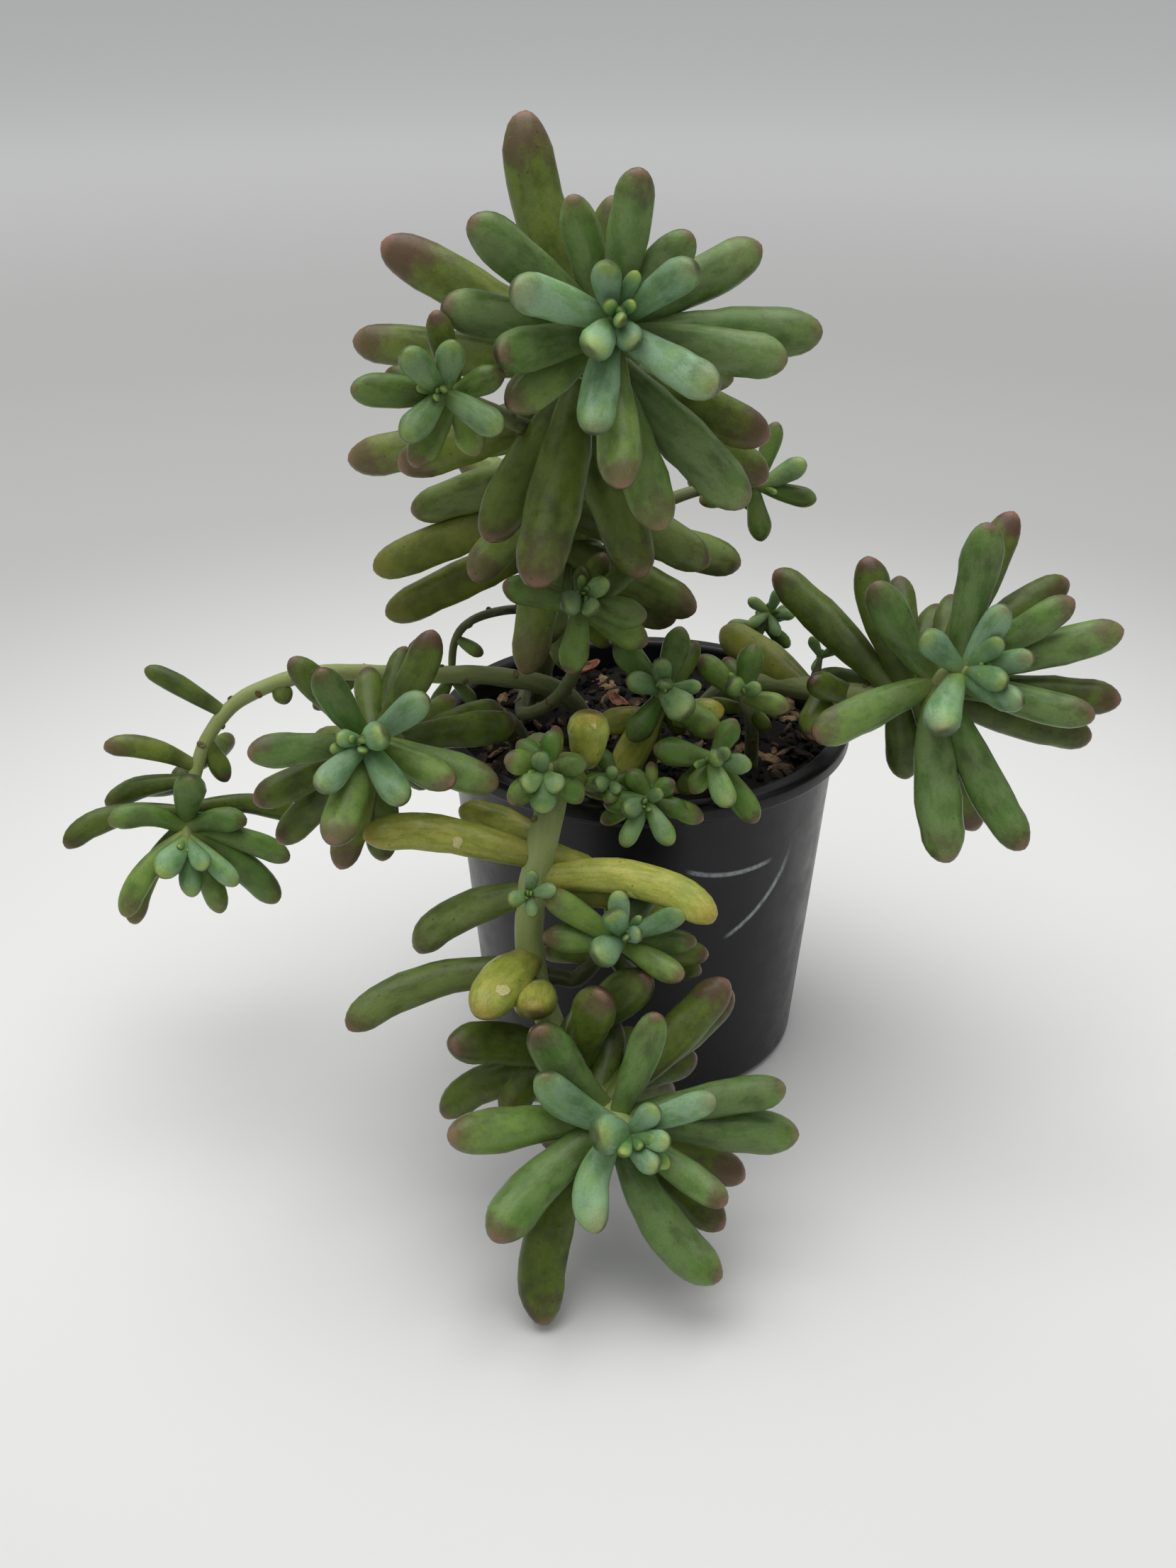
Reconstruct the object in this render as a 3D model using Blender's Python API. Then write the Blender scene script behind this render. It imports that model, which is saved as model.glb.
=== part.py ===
"""A sedum with finger-like leaves, growing in a black plastic nursery pot.

The pot stands on the floor with its axis on +Z and the middle of its foot at the origin; -Y is the front.
Every table below is in millimetres and degrees, and the meshes are made in metres.
"""

import math
from collections import namedtuple

import bmesh
import bpy
import numpy as np
from mathutils import Vector

MM = 0.001
GAP = 0.3  # air between two pieces that touch
GOLDEN_ANGLE = 137.5

# Pot: a thin turned cup with a rolled rim and drain holes round its floor.
POT_HEIGHT = 78.0
POT_FOOT_RADIUS = 35.5
POT_TOP_RADIUS = 42.0
RIM_RADIUS = 45.0
RIM_HEIGHT = 4.0
POT_WALL = 1.2
FLOOR_THICKNESS = 1.6
POT_SIDES = 36
DRAIN_HOLES = 6
DRAIN_RADIUS = 4.0
DRAIN_CIRCLE = 26.0

# Potting mix: fills the pot, and lies in lumps on top.
SOIL_TOP = 71.0
SOIL_LUMP = 1.2
SOIL_RINGS = 3
STEM_HOLE_DEPTH = 13.0

# Leaf proportions.
LEAF_FLATNESS = 0.82
FULLNESS = 0.95  # of the tabled width
ROOT_SHARE = 0.44
FULL_AT = 0.72
TIP_TAPER = 0.12
PLUMP_AT = 40.0  # leaves this far behind the tip are the fullest at their root
SUNK_ROOT = 0.6
LARGE_LEAF = 21.0
SMALL_LEAF = 8.0
STEM_STEP = 9.0
SHORT_EDGE = 0.25

# A leaf springs from the stem `back` mm behind the growing tip. Its chord points the way a clock hand
# does on its shoot's clock face (0 up, 90 to the right), and `forward` degrees out of that face.
# `lift` and `sweep` are how far it bends out of the face, and round the face, from root to tip.
Leaf = namedtuple("Leaf", "back clock forward length width lift sweep", defaults=(20, 0))

AGES = ("young", "grown", "old", "faded")

# A shoot is one stem with its leaves. `stem` is its route from the root up, `thick` its radius at the
# root and at the tip, and `face` the turn and tilt of its clock face: how far the face looks to the
# right of straight ahead, and above the horizon. The leaves are listed by age. `fill` is how many more
# grow round the side that looks away, how long they are, and how far down the stem they go.
Shoot = namedtuple("Shoot", "node stem thick face young grown old faded fill bud")


def shoot(node, stem, thick, face, young=(), grown=(), old=(), faded=(), fill=(0, 20, 20), bud=2):
    """A shoot whose leaf rows have become leaves."""
    ages = [[Leaf(*row) for row in rows] for rows in (young, grown, old, faded)]
    points = [Vector(p) for p in stem]
    if points[0].z < SOIL_TOP:
        points.insert(1, points[0].lerp(points[1], 0.55))
    return Shoot(node, points, thick, face, *ages, fill, bud)


CROWN = shoot(
    "crown_stem",
    stem=(
        (-24, 20, 59), (-24, 20, 76), (-21, 12, 94), (-18, 4, 111), (-18, -6, 129), (-16, -18, 148),
        (-12, -32, 163), (-7, -50, 176),
    ),
    thick=(3.6, 2.4),
    face=(-1, 13),
    young=(
        (3, 219, 68, 14, 6.5), (4, 190, 40, 23, 7.4, 25), (3, 289, 38, 22, 7.8, 30),
        (3, 56, 40, 21, 6.6, 45),
        (2, 355, 45, 13, 5.2, 40, 30), (2, 137, 55, 9, 5.2), (4, 119, 35, 25, 7.4, 25, -15),
    ),
    grown=(
        (6, 11, 20, 28, 7.8), (8, 345, 10, 24, 7.2), (7, 41, 12, 22, 8.0), (8, 61, -5, 31, 8.4),
        (9, 89, 5, 38, 9.4), (8, 98, 20, 33, 8.4), (9, 109, 0, 24, 7.4), (7, 174, 25, 29, 8.4),
        (8, 309, 18, 31, 8.8), (10, 280, 20, 30, 8.6, 40), (8, 259, 40, 24, 8.2, 45),
        (10, 234, 22, 22, 8.2, 40),
        (14, 160, 14, 35, 9.0), (16, 135, 8, 39, 10.0),
    ),
    old=(
        (14, 6, -5, 26, 7.5), (15, 343, -5, 43, 9.8, 15, 30), (20, 298, -2, 43, 9.6),
        (24, 276, -5, 44, 8.6),
        (22, 112, 0, 36, 9.0), (26, 120, -14, 42, 8.8), (28, 211, 10, 35, 10.4),
        (26, 193, 24, 42, 11.0),
        (36, 158, 5, 36, 10.4), (36, 249, 0, 36, 9.0), (44, 260, -12, 46, 9.0), (56, 251, -18, 35, 8.6),
        (58, 220, 25, 29, 8.4), (62, 190, 10, 39, 8.8), (60, 120, 0, 35, 9.4), (70, 108, -15, 42, 9.0),
        (80, 116, 5, 32, 9.0), (90, 110, 12, 27, 8.6), (84, 190, 28, 20, 8.8), (94, 172, 12, 18, 7.2),
    ),
    faded=((66, 248, -5, 42, 8.8), (78, 245, -2, 41, 8.6)),
    fill=(11, 30, 74),
)

UPPER_LEFT = shoot(
    "crown_stem",
    stem=((-16, -16, 144), (-24, -30, 151), (-31, -45, 159), (-37, -58, 165)),
    thick=(1.6, 1.3),
    face=(5, 15),
    young=((1, 318, 40, 12, 5.4), (1, 14, 30, 10, 5.0), (1, 222, 32, 12, 5.4), (1, 124, 28, 13, 5.4)),
    grown=((3, 274, 15, 17, 6.2), (5, 213, 5, 14, 5.6), (5, 160, -5, 11, 5.2), (4, 68, 10, 10, 5.0)),
    old=((6, 348, 8, 15, 4.8), (7, 290, -15, 14, 5.0)),
    fill=(3, 13, 10),
)

BACK_RIGHT = shoot(
    "crown_stem",
    stem=((-17, 3, 113), (-4, 10, 119), (12, 15, 124), (26, 12, 126)),
    thick=(1.6, 1.2),
    face=(-6, 18),
    young=((1, 60, 20, 11, 4.8), (1, 300, 30, 8, 4.2)),
    grown=((2, 102, 0, 13, 4.6), (3, 168, 0, 12, 5.0), (2, 15, 0, 14, 4.4), (4, 250, 10, 11, 4.6)),
    fill=(3, 11, 10),
)

UNDER_CROWN = shoot(
    "crown_stem",
    stem=(
        (-23, 17, 82), (-26, 8, 79), (-26, -2, 79), (-20, -8, 84), (-15, -15, 94), (-14, -23, 104),
        (-13, -35, 119),
    ),
    thick=(1.6, 1.3),
    face=(0, 21),
    young=((1, 256, 66, 8, 5.0), (1, 135, 66, 7, 4.0), (1, 52, 30, 7, 4.0)),
    grown=((2, 104, 14, 13, 6.2), (3, 190, 15, 14, 5.8), (4, 286, 8, 16, 6.2), (5, 118, -12, 15, 6.2)),
    old=((6, 48, -8, 17, 5.2), (8, 20, -15, 14, 5.0)),
    fill=(2, 12, 10),
)

CROWN_ARCH = shoot(
    "crown_stem",
    stem=((-21, 12, 97), (-29, 6, 100), (-37, 5, 98), (-41, 5, 93), (-42, 4, 84)),
    thick=(1.1, 0.8),
    face=(0, 20),
    grown=((10, 122, 10, 7, 3.0), (1, 210, 10, 8, 3.4), (1, 140, 0, 8, 3.2)),
    bud=0,
)

RIGHT = shoot(
    "right_stem",
    stem=(
        (14, 6, 59), (14, 6, 75), (20, 3, 83), (30, -2, 86), (40, -11, 88), (52, -20, 92),
        (64, -30, 102),
    ),
    thick=(3.4, 1.9),
    face=(-12, 23),
    young=(
        (1, 106, 50, 12, 5.0), (2, 28, 30, 17, 6.0, 35), (2, 74, 24, 15, 4.8, 45),
        (2, 306, 42, 14, 6.2, 40),
        (3, 108, 38, 17, 5.6, 40, -35), (3, 186, 50, 18, 8.0, 50, -40), (1, 44, 38, 11, 4.2),
    ),
    grown=(
        (4, 7, 15, 31, 8.6), (5, 53, 4, 28, 6.8), (6, 70, -6, 36, 7.8), (6, 100, 10, 30, 7.2, 20, -12),
        (8, 148, 8, 38, 8.6, 10, -15), (9, 170, 12, 37, 10.0, 10, -18), (9, 241, 26, 29, 8.6),
        (9, 325, 22, 25, 8.2, 20, 22),
    ),
    old=(
        (9, 19, -8, 38, 7.6), (12, 49, -18, 38, 7.6, 10, 18), (11, 90, -8, 39, 8.0),
        (13, 102, -26, 41, 8.2, 10, -10),
        (14, 153, -24, 36, 8.0), (16, 338, 0, 29, 8.2, 15, 18), (17, 351, -25, 27, 7.0),
        (19, 310, -8, 37, 8.4),
        (18, 18, -36, 25, 7.6), (19, 170, -28, 21, 8.0), (30, 290, 40, 11, 6.2, 40, 35),
        (37, 186, 4, 12, 7.4),
    ),
    faded=((42, 299, -22, 25, 9.0),),
    fill=(5, 26, 34),
)

RIGHT_OFFSET = shoot(
    "right_stem",
    stem=((36, -6, 87), (38, -1, 92)),
    thick=(1.1, 0.9),
    face=(-6, 24),
    young=((0, 330, 20, 5, 2.4), (0, 60, 20, 5, 2.4), (0, 200, 20, 4, 2.2)),
)

FRONT = shoot(
    "front_stem",
    stem=(
        (-23, -22, 59), (-23, -22, 76), (-22, -32, 85), (-20, -43, 89), (-19, -53, 85), (-21, -60, 77),
        (-23, -63, 66),
        (-23, -65, 56), (-20, -69, 46), (-15, -76, 39), (-9, -84, 35), (-4, -93, 35),
    ),
    thick=(3.4, 2.5),
    face=(-2, 38),
    young=(
        (2, 260, 68, 12, 7.8), (1, 46, 45, 10, 4.6), (1, 100, 42, 10, 4.2),
        (2, 134, 38, 11, 4.6, 40, -40),
        (3, 71, 28, 20, 5.6), (4, 306, 34, 21, 7.4, 35, 60), (4, 186, 24, 22, 7.2, 30, -80),
    ),
    grown=(
        (5, 125, 10, 25, 6.4), (6, 93, -6, 35, 8.6), (7, 79, 6, 33, 7.4), (7, 143, 4, 36, 9.0, 10, -45),
        (6, 21, 24, 23, 7.0), (7, 222, 22, 33, 9.4, 15, -25), (8, 261, 22, 32, 8.6),
        (9, 321, 34, 24, 8.6, 40, 25),
    ),
    old=(
        (10, 43, 0, 34, 8.2), (12, 49, -18, 36, 8.2), (10, 115, -20, 32, 8.2), (11, 134, -14, 33, 8.0),
        (9, 194, -4, 42, 9.4, 6, -50), (15, 70, -28, 25, 7.6), (14, 84, -34, 25, 7.8),
        (13, 10, -18, 17, 7.2),
        (20, 22, 48, 22, 9.0, 20, 20), (26, 55, 28, 24, 9.0, 30, 15), (22, 272, 30, 26, 8.8, 30, -45),
        (20, 248, -12, 29, 7.6, 0, -60), (30, 205, 0, 20, 7.6), (57, 242, -16, 27, 7.8, 0, -60),
        (42, 248, 8, 38, 7.6, 0, -46),
    ),
    faded=(
        (64, 274, 8, 34, 7.6, 0, -34), (68, 292, -22, 20, 7.0), (60, 106, 12, 37, 7.6, 0, 60),
        (66, 114, -32, 20, 7.0), (58, 96, -14, 27, 7.2, 0, 20), (44, 212, 48, 23, 9.4, -20, -20),
        (38, 176, 62, 18, 8.6, 0),
    ),
    fill=(5, 26, 26),
)

FRONT_SIDE = shoot(
    "front_stem",
    stem=((-22, -65, 52), (-14, -64, 51), (-9, -66, 58), (-5, -72, 66)),
    thick=(1.8, 1.4),
    face=(-1, 32),
    young=(
        (1, 333, 60, 9, 5.0), (1, 82, 60, 6, 3.4), (2, 355, 30, 10, 4.2), (2, 68, 20, 14, 4.4),
        (2, 232, 60, 11, 6.0),
    ),
    grown=(
        (4, 303, 18, 17, 5.6), (4, 20, 0, 16, 5.8), (5, 274, 5, 14, 5.6), (4, 119, 22, 15, 5.2),
        (4, 90, 0, 15, 4.6),
    ),
    old=((6, 96, -14, 19, 5.6), (7, 106, -24, 20, 5.4)),
    fill=(3, 15, 14),
)

FRONT_OFFSET = shoot(
    "front_stem",
    stem=((-23, -63, 71), (-23, -69, 73)),
    thick=(1.1, 1.0),
    face=(0, 30),
    young=((0, 250, 40, 5, 3.2), (0, 80, 30, 6, 3.0), (0, 10, 30, 5, 2.8), (0, 170, 30, 5, 2.6)),
)

NEAR_LEFT = shoot(
    "near_left_stem",
    stem=(
        (-27, -8, 59), (-27, -8, 76), (-32, -14, 84), (-39, -26, 88), (-46, -37, 90), (-51, -47, 94),
        (-54, -58, 99),
    ),
    thick=(2.6, 1.9),
    face=(8, 26),
    young=(
        (1, 66, 72, 11, 5.6), (1, 285, 45, 7, 3.6), (2, 229, 42, 16, 5.6), (2, 152, 36, 16, 6.4),
        (2, 57, 36, 17, 6.0),
    ),
    grown=(
        (4, 331, 26, 18, 6.8, 20, 25), (4, 268, 14, 23, 6.8), (5, 205, 30, 23, 7.8),
        (5, 120, 26, 19, 6.8),
        (7, 113, 8, 25, 7.4),
    ),
    old=(
        (6, 319, 4, 22, 6.4), (8, 247, -5, 26, 6.8), (9, 228, -18, 29, 6.8), (9, 200, -16, 27, 6.8),
        (10, 182, -20, 25, 7.0), (8, 30, 8, 24, 7.0, 10, -18), (9, 20, -14, 20, 5.6), (16, 85, -25, 28, 7.4),
        (20, 76, -44, 31, 7.0),
        (15, 22, -28, 25, 6.0),
    ),
    fill=(4, 22, 24),
)

FAR_LEFT = shoot(
    "far_left_stem",
    stem=(
        (-13, 2, 59), (-13, 2, 76), (-19, 2, 83), (-32, 2, 86), (-44, 1, 87), (-56, -1, 88),
        (-68, -5, 90),
        (-78, -8, 89), (-87, -10, 85), (-93, -13, 78), (-96, -17, 70), (-97, -22, 64), (-96, -28, 61),
    ),
    thick=(2.4, 1.3),
    face=(14, 28),
    young=((1, 223, 34, 11, 6.0), (1, 154, 38, 9, 4.2), (2, 181, 10, 13, 5.0), (2, 141, 12, 15, 4.6)),
    grown=(
        (3, 220, 5, 22, 5.6, 0, -45), (3, 164, -10, 19, 5.4, 0, 15), (4, 277, 14, 17, 5.4, 0, -75),
        (4, 94, 10, 13, 5.6, 0, 55),
        (4, 115, -6, 23, 5.6, 0, 32), (4, 137, -14, 26, 6.8, 0, 28), (6, 12, 52, 14, 7.0, 30),
    ),
    old=(
        (6, 211, -16, 26, 5.4, 0, -45), (8, 258, 0, 27, 5.6, 0, -62), (9, 104, -12, 26, 5.0, 0, 45),
        (18, 286, 5, 20, 5.2, 0, -45), (15, 258, -15, 20, 5.2, 0, -45), (24, 160, -10, 10, 4.4),
        (31, 305, 0, 19, 4.6, 0, -12), (44, 160, 0, 5, 4.2), (62, 238, -20, 13, 4.2),
    ),
    fill=(4, 18, 20),
)

MIDDLE_SPRIG = shoot(
    "middle_sprig",
    stem=((1, -17, 59), (1, -17, 76), (2, -24, 88), (3, -33, 99)),
    thick=(1.9, 1.4),
    face=(-2, 24),
    young=(
        (1, 354, 50, 9, 4.0), (1, 286, 35, 9, 4.6), (1, 135, 60, 12, 6.4), (1, 83, 20, 8, 3.0),
        (1, 16, 60, 6, 3.2),
    ),
    grown=((3, 318, 8, 14, 5.8), (3, 15, 2, 14, 5.6), (4, 122, 8, 14, 6.2), (4, 215, 10, 11, 5.4)),
    old=((6, 31, -20, 15, 5.0),),
    faded=((5, 207, -12, 19, 7.4), (12, 258, 14, 13, 5.6), (14, 82, 5, 14, 6.2)),
    fill=(2, 12, 10),
)

LEFT_RIM_SPRIG = shoot(
    "left_rim_sprig",
    stem=(
        (-10, -32, 59), (-10, -32, 76), (-11, -39, 84), (-13, -48, 90), (-17, -55, 94), (-21, -60, 93),
    ),
    thick=(1.6, 1.3),
    face=(2, 27),
    young=((1, 348, 50, 6, 3.8), (1, 236, 52, 7, 4.0), (1, 132, 45, 6, 4.2), (2, 187, 28, 9, 5.2)),
    grown=(
        (3, 281, 18, 9, 5.0), (3, 309, -5, 8, 4.4), (3, 3, 5, 7, 4.0), (3, 85, 10, 7, 4.6),
        (4, 230, 5, 11, 5.0),
        (4, 145, -5, 9, 4.8),
    ),
    faded=((18, 4, 50, 14, 8.6, 20),),
    fill=(2, 10, 8),
)

RIM_SPRIG = shoot(
    "rim_sprig",
    stem=((4, -33, 59), (4, -33, 76), (2, -42, 82), (-1, -52, 83)),
    thick=(1.5, 1.2),
    face=(0, 27),
    young=((1, 250, 50, 7, 4.2), (1, 50, 45, 5, 2.8), (1, 150, 20, 10, 4.2), (1, 208, 14, 10, 3.8)),
    grown=(
        (3, 56, 14, 6, 4.0), (3, 324, 6, 7, 4.4), (3, 262, 5, 9, 4.4), (3, 243, -15, 11, 3.6),
        (3, 112, 2, 8, 4.2),
        (4, 115, -15, 12, 4.2),
    ),
    old=((5, 275, 0, 14, 4.4), (6, 272, 12, 10, 3.8)),
    fill=(2, 9, 8),
)

RIM_OFFSET = shoot(
    "rim_sprig",
    stem=((3, -36, 79), (-3, -42, 84), (-8, -48, 86)),
    thick=(1.2, 1.0),
    face=(0, 27),
    young=((0, 250, 45, 5, 3.4), (0, 20, 45, 4, 2.6), (0, 140, 40, 4, 2.6)),
    grown=((2, 262, 10, 7, 4.2), (2, 320, 10, 7, 4.0), (2, 185, 10, 6, 3.6), (2, 95, 10, 5, 3.4)),
    bud=2,
)

RIGHT_RIM_SPRIG = shoot(
    "right_rim_sprig",
    stem=((15, -26, 59), (15, -26, 76), (14, -35, 84), (12, -45, 89)),
    thick=(1.6, 1.3),
    face=(-4, 26),
    young=(
        (0, 60, 80, 6, 3.8), (1, 60, 40, 5, 3.0), (1, 97, 15, 8, 4.2), (1, 155, 40, 12, 5.0, 20, -20),
    ),
    grown=((3, 279, 5, 12, 5.8), (4, 144, 2, 15, 5.6), (3, 212, 8, 8, 4.2), (4, 26, -4, 9, 4.8)),
    old=((5, 225, -12, 10, 4.6),),
    fill=(2, 10, 8),
)

RIGHT_SPRIG = shoot(
    "right_sprig",
    stem=((23, -11, 59), (23, -11, 76), (22, -16, 85), (19, -23, 94)),
    thick=(1.6, 1.3),
    face=(-5, 24),
    young=((1, 310, 66, 6, 4.4), (1, 72, 35, 5, 3.2)),
    grown=((3, 10, 2, 11, 5.4), (3, 102, 14, 10, 4.8), (4, 310, -2, 13, 5.2)),
    old=((5, 333, -25, 11, 4.6),),
    fill=(3, 12, 10),
)

BACK_SPRIG = shoot(
    "back_sprig",
    stem=((22, 20, 59), (22, 20, 76), (26, 22, 86), (29, 22, 93)),
    thick=(1.3, 1.0),
    face=(-5, 20),
    young=(
        (0, 20, 20, 6, 2.8), (0, 95, 20, 6, 2.8), (0, 160, 15, 6, 2.8), (0, 235, 20, 6, 2.8),
        (0, 300, 20, 6, 2.8),
    ),
    grown=((3, 60, -5, 8, 3.4), (3, 130, 0, 8, 3.4), (4, 270, 0, 8, 3.4)),
    fill=(3, 8, 10),
)

SHOOTS = (
    CROWN, UPPER_LEFT, BACK_RIGHT, UNDER_CROWN, CROWN_ARCH,
    FRONT, FRONT_SIDE, FRONT_OFFSET, RIGHT, RIGHT_OFFSET, NEAR_LEFT, FAR_LEFT,
    MIDDLE_SPRIG, LEFT_RIM_SPRIG, RIM_SPRIG, RIM_OFFSET, RIGHT_RIM_SPRIG, RIGHT_SPRIG, BACK_SPRIG,
)


def smooth_path(points, step=1.0):
    """Points about `step` mm apart on a Catmull-Rom curve through the given ones."""
    ends = [2 * points[0] - points[1], *points, 2 * points[-1] - points[-2]]
    line = []
    for a, b, c, d in zip(ends, ends[1:], ends[2:], ends[3:]):
        count = max(1, round((c - b).length / step))
        for i in range(count):
            t = i / count
            square, cube = 2 * a - 5 * b + 4 * c - d, 3 * b - 3 * c + d - a
            line.append(0.5 * (2 * b + (c - a) * t + square * t**2 + cube * t**3))
    return [*line, points[-1]]


def stem_point(line, back):
    """The point `back` mm behind the growing tip of a stem."""
    for tip_side, root_side in zip(line[::-1], line[-2::-1]):
        length = (tip_side - root_side).length
        if back <= length:
            return tip_side.lerp(root_side, back / length)
        back -= length
    return line[0]


def clock_face(face):
    """The right, up and outward directions of a shoot's clock face."""
    turn, tilt = (math.radians(angle) for angle in face)
    outward = Vector((math.sin(turn) * math.cos(tilt), -math.cos(turn) * math.cos(tilt), math.sin(tilt)))
    right = Vector((math.cos(turn), math.sin(turn), 0))
    return right, outward.cross(right), outward


def leaf_tip(leaf):
    """The share of the leaf's length over which its tip rounds off."""
    return min(0.45, 0.72 * leaf.width / leaf.length)


def leaf_half_width(leaf, t):
    """Half the leaf's width at t, from 0 at its narrow root to 1 at its blunt tip."""
    tip = leaf_tip(leaf)
    plump = min(1.0, leaf.back / PLUMP_AT)
    root = ROOT_SHARE + 0.18 * plump
    full_at = FULL_AT - 0.2 * plump
    body = root + (1 - root) * (1 - (1 - min(1.0, t / full_at)) ** 1.4)
    taper = 1 - TIP_TAPER * max(0.0, (t - full_at) / (1 - full_at)) ** 1.5
    rounding = max(0.0, (t - 1 + tip) / tip)
    fullness = FULLNESS + 0.12 * max(0.0, 1 - leaf.length / 20)
    return fullness * leaf.width / 2 * body * taper * math.sqrt(max(0.0, 1 - rounding**2.15))


def leaf_stations(root, leaf, face, shares):
    """The leaf's centre, sideways direction and upper-face direction at these shares of its length."""
    right, up, outward = clock_face(face)
    steps = 24
    centre = root.copy()
    found = []
    wanted = list(shares)
    for i in range(steps + 1):
        t = i / steps
        bend = t * t - 1 / 3
        clock = math.radians(leaf.clock + leaf.sweep * bend)
        forward = math.radians(leaf.forward + leaf.lift * bend)
        along = (right * math.sin(clock) + up * math.cos(clock)) * math.cos(forward)
        along += outward * math.sin(forward)
        side = right * math.cos(clock) - up * math.sin(clock)
        while wanted and wanted[0] <= t + 1e-6:
            here = centre + along * (wanted.pop(0) - t) * leaf.length
            found.append((here, side, side.cross(along).normalized()))
        centre = centre + along * leaf.length / steps
    return found


def leaf_balls(root, leaf, face):
    """Balls that fill the leaf, as rows of x, y, z and radius, for telling whether two leaves cross."""
    shares = [i / 10 for i in range(1, 11)]
    shares[-1] = 0.97
    centres = [centre for centre, _, _ in leaf_stations(root, leaf, face, shares)]
    return np.array([[*c, 0.93 * leaf_half_width(leaf, t)] for c, t in zip(centres, shares)])


def clearance(balls, others):
    """The least gap between two sets of balls, below 0 where they cross."""
    if not len(others):
        return math.inf
    apart = np.linalg.norm(balls[:, None, :3] - others[None, :, :3], axis=2)
    return float((apart - balls[:, None, 3] - others[None, :, 3]).min())


# A leaf that would cross another is bent clear: a little out of its clock face or into it, or round it.
NUDGES = [(0, 0)] + [
    (forward, clock)
    for clock in (0, 5, -5, 10, -10)
    for forward in (5, -5, 10, -10, 16, -16, 22, -22, 28, -28)
]
ROOM = 0.6
PRESSED = 1.0  # leaves of one plant may press into each other by this much
FREE_BALLS = 5  # the balls nearest the root may touch those of the same head


class Thicket:
    """What already grows: every node's leaves and stems, as balls."""

    def __init__(self, fixed):
        self.heads = {}
        self.nodes = {}
        self.fixed = fixed

    def room_for(self, node, head, balls):
        others = [b for name, rows in self.nodes.items() if name != node for b in rows]
        gap = clearance(balls, np.concatenate(others)) if others else math.inf
        siblings = [b[FREE_BALLS:] for b in self.heads.get(head, [])]
        own = clearance(balls[FREE_BALLS:], np.concatenate(siblings)) if siblings else math.inf
        cousins = [b for name, rows in self.heads.items() if name != head and name[0] == node for b in rows]
        near = clearance(balls[2:], np.concatenate(cousins)) if cousins else math.inf
        return min(gap - ROOM, own + PRESSED, near + PRESSED, self.fixed(balls) - ROOM)

    def settle(self, node, head, root, leaf, face):
        """The leaf, bent clear of what already grows, and the gap that this leaves."""
        best = None
        for forward, clock in NUDGES:
            bent = leaf._replace(forward=leaf.forward + forward, clock=leaf.clock + clock)
            gap = self.room_for(node, head, leaf_balls(root, bent, face))
            if best is None or gap > best[1]:
                best = (bent, gap)
            if gap >= 0:
                break
        return best

    def add(self, node, head, balls):
        self.heads.setdefault(head, []).append(balls)
        self.nodes.setdefault(node, []).append(balls)


def pot_gap(balls):
    """The least gap between some balls and the pot, its soil and the floor, below 0 where they cross."""
    reach = np.hypot(balls[:, 0], balls[:, 1])
    outer = np.where(balls[:, 2] > POT_HEIGHT - RIM_HEIGHT - 4, RIM_RADIUS, POT_TOP_RADIUS)
    beside = reach - outer
    above = balls[:, 2] - np.where(reach < POT_TOP_RADIUS - POT_WALL - 4, SOIL_TOP + 1, POT_HEIGHT)
    outside = np.where((beside > 0) & (above > 0), np.hypot(beside, above), np.maximum(beside, above))
    return float(min((outside - balls[:, 3]).min(), (balls[:, 2] - balls[:, 3]).min() + ROOM))


def grow(shoots):
    """Every leaf, bent clear of the others, as (shoot, root point, leaf, age)."""
    thicket = Thicket(pot_gap)
    lines = [smooth_path(s.stem) for s in shoots]
    for s, line in zip(shoots, lines):
        root, tip = s.thick
        radii = np.linspace(root, tip, len(line))
        thicket.nodes.setdefault(s.node, []).append(np.array([[*p, r] for p, r in zip(line, radii)]))
    grown = []
    for number, (s, line) in enumerate(zip(shoots, lines)):
        head = (s.node, number)
        by_age = zip(AGES, (s.young, s.grown, s.old, s.faded))
        listed = [(leaf, age) for age, rows in by_age for leaf in rows]
        for leaf, age in listed + [(leaf, "old") for leaf in hidden_leaves(s)]:
            root = stem_point(line, leaf.back)
            bent, gap = thicket.settle(s.node, head, root, leaf, s.face)
            if gap < 0 and (leaf, age) not in listed:
                continue
            thicket.add(s.node, head, leaf_balls(root, bent, s.face))
            grown.append((s, root, bent, age))
        for leaf in bud_leaves(s, line):
            root = stem_point(line, leaf.back)
            grown.append((s, root, leaf, "bud"))
    return grown


def hidden_leaves(s):
    """Leaves round the side of a shoot that looks away, a golden angle apart down the stem."""
    count, length, reach = s.fill
    leaves = []
    for i in range(count):
        share = (i + 0.5) / count
        leaves.append(
            Leaf(
                back=4 + (reach - 4) * share,
                clock=i * GOLDEN_ANGLE % 360,
                forward=-30 - 25 * ((i * 0.618) % 1),
                length=length * (0.75 + 0.25 * share),
                width=length * (0.22 + 0.1 * (20 / (length + 20))),
                lift=20,
            )
        )
    return leaves


def bud_leaves(s, line):
    """The smallest leaves, packed round the growing tip a golden angle apart."""
    right, up, outward = clock_face(s.face)
    axis = (line[-1] - line[-4]).normalized()
    base_clock = math.degrees(math.atan2(axis.dot(right), axis.dot(up)))
    base_forward = math.degrees(math.asin(max(-1.0, min(1.0, axis.dot(outward)))))
    size = s.thick[1]
    leaves = []
    for i in range(s.bud):
        spin = math.radians(i * GOLDEN_ANGLE)
        lean = 12 + 7 * i
        forward = max(-85.0, min(85.0, base_forward + lean * math.cos(spin)))
        clock = base_clock + lean * math.sin(spin) / max(0.3, math.cos(math.radians(forward)))
        leaves.append(Leaf(0.3 * i, clock, forward, size * (1.7 + 0.32 * i), size * (1.05 + 0.1 * i), 10, 0))
    return leaves


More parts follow.
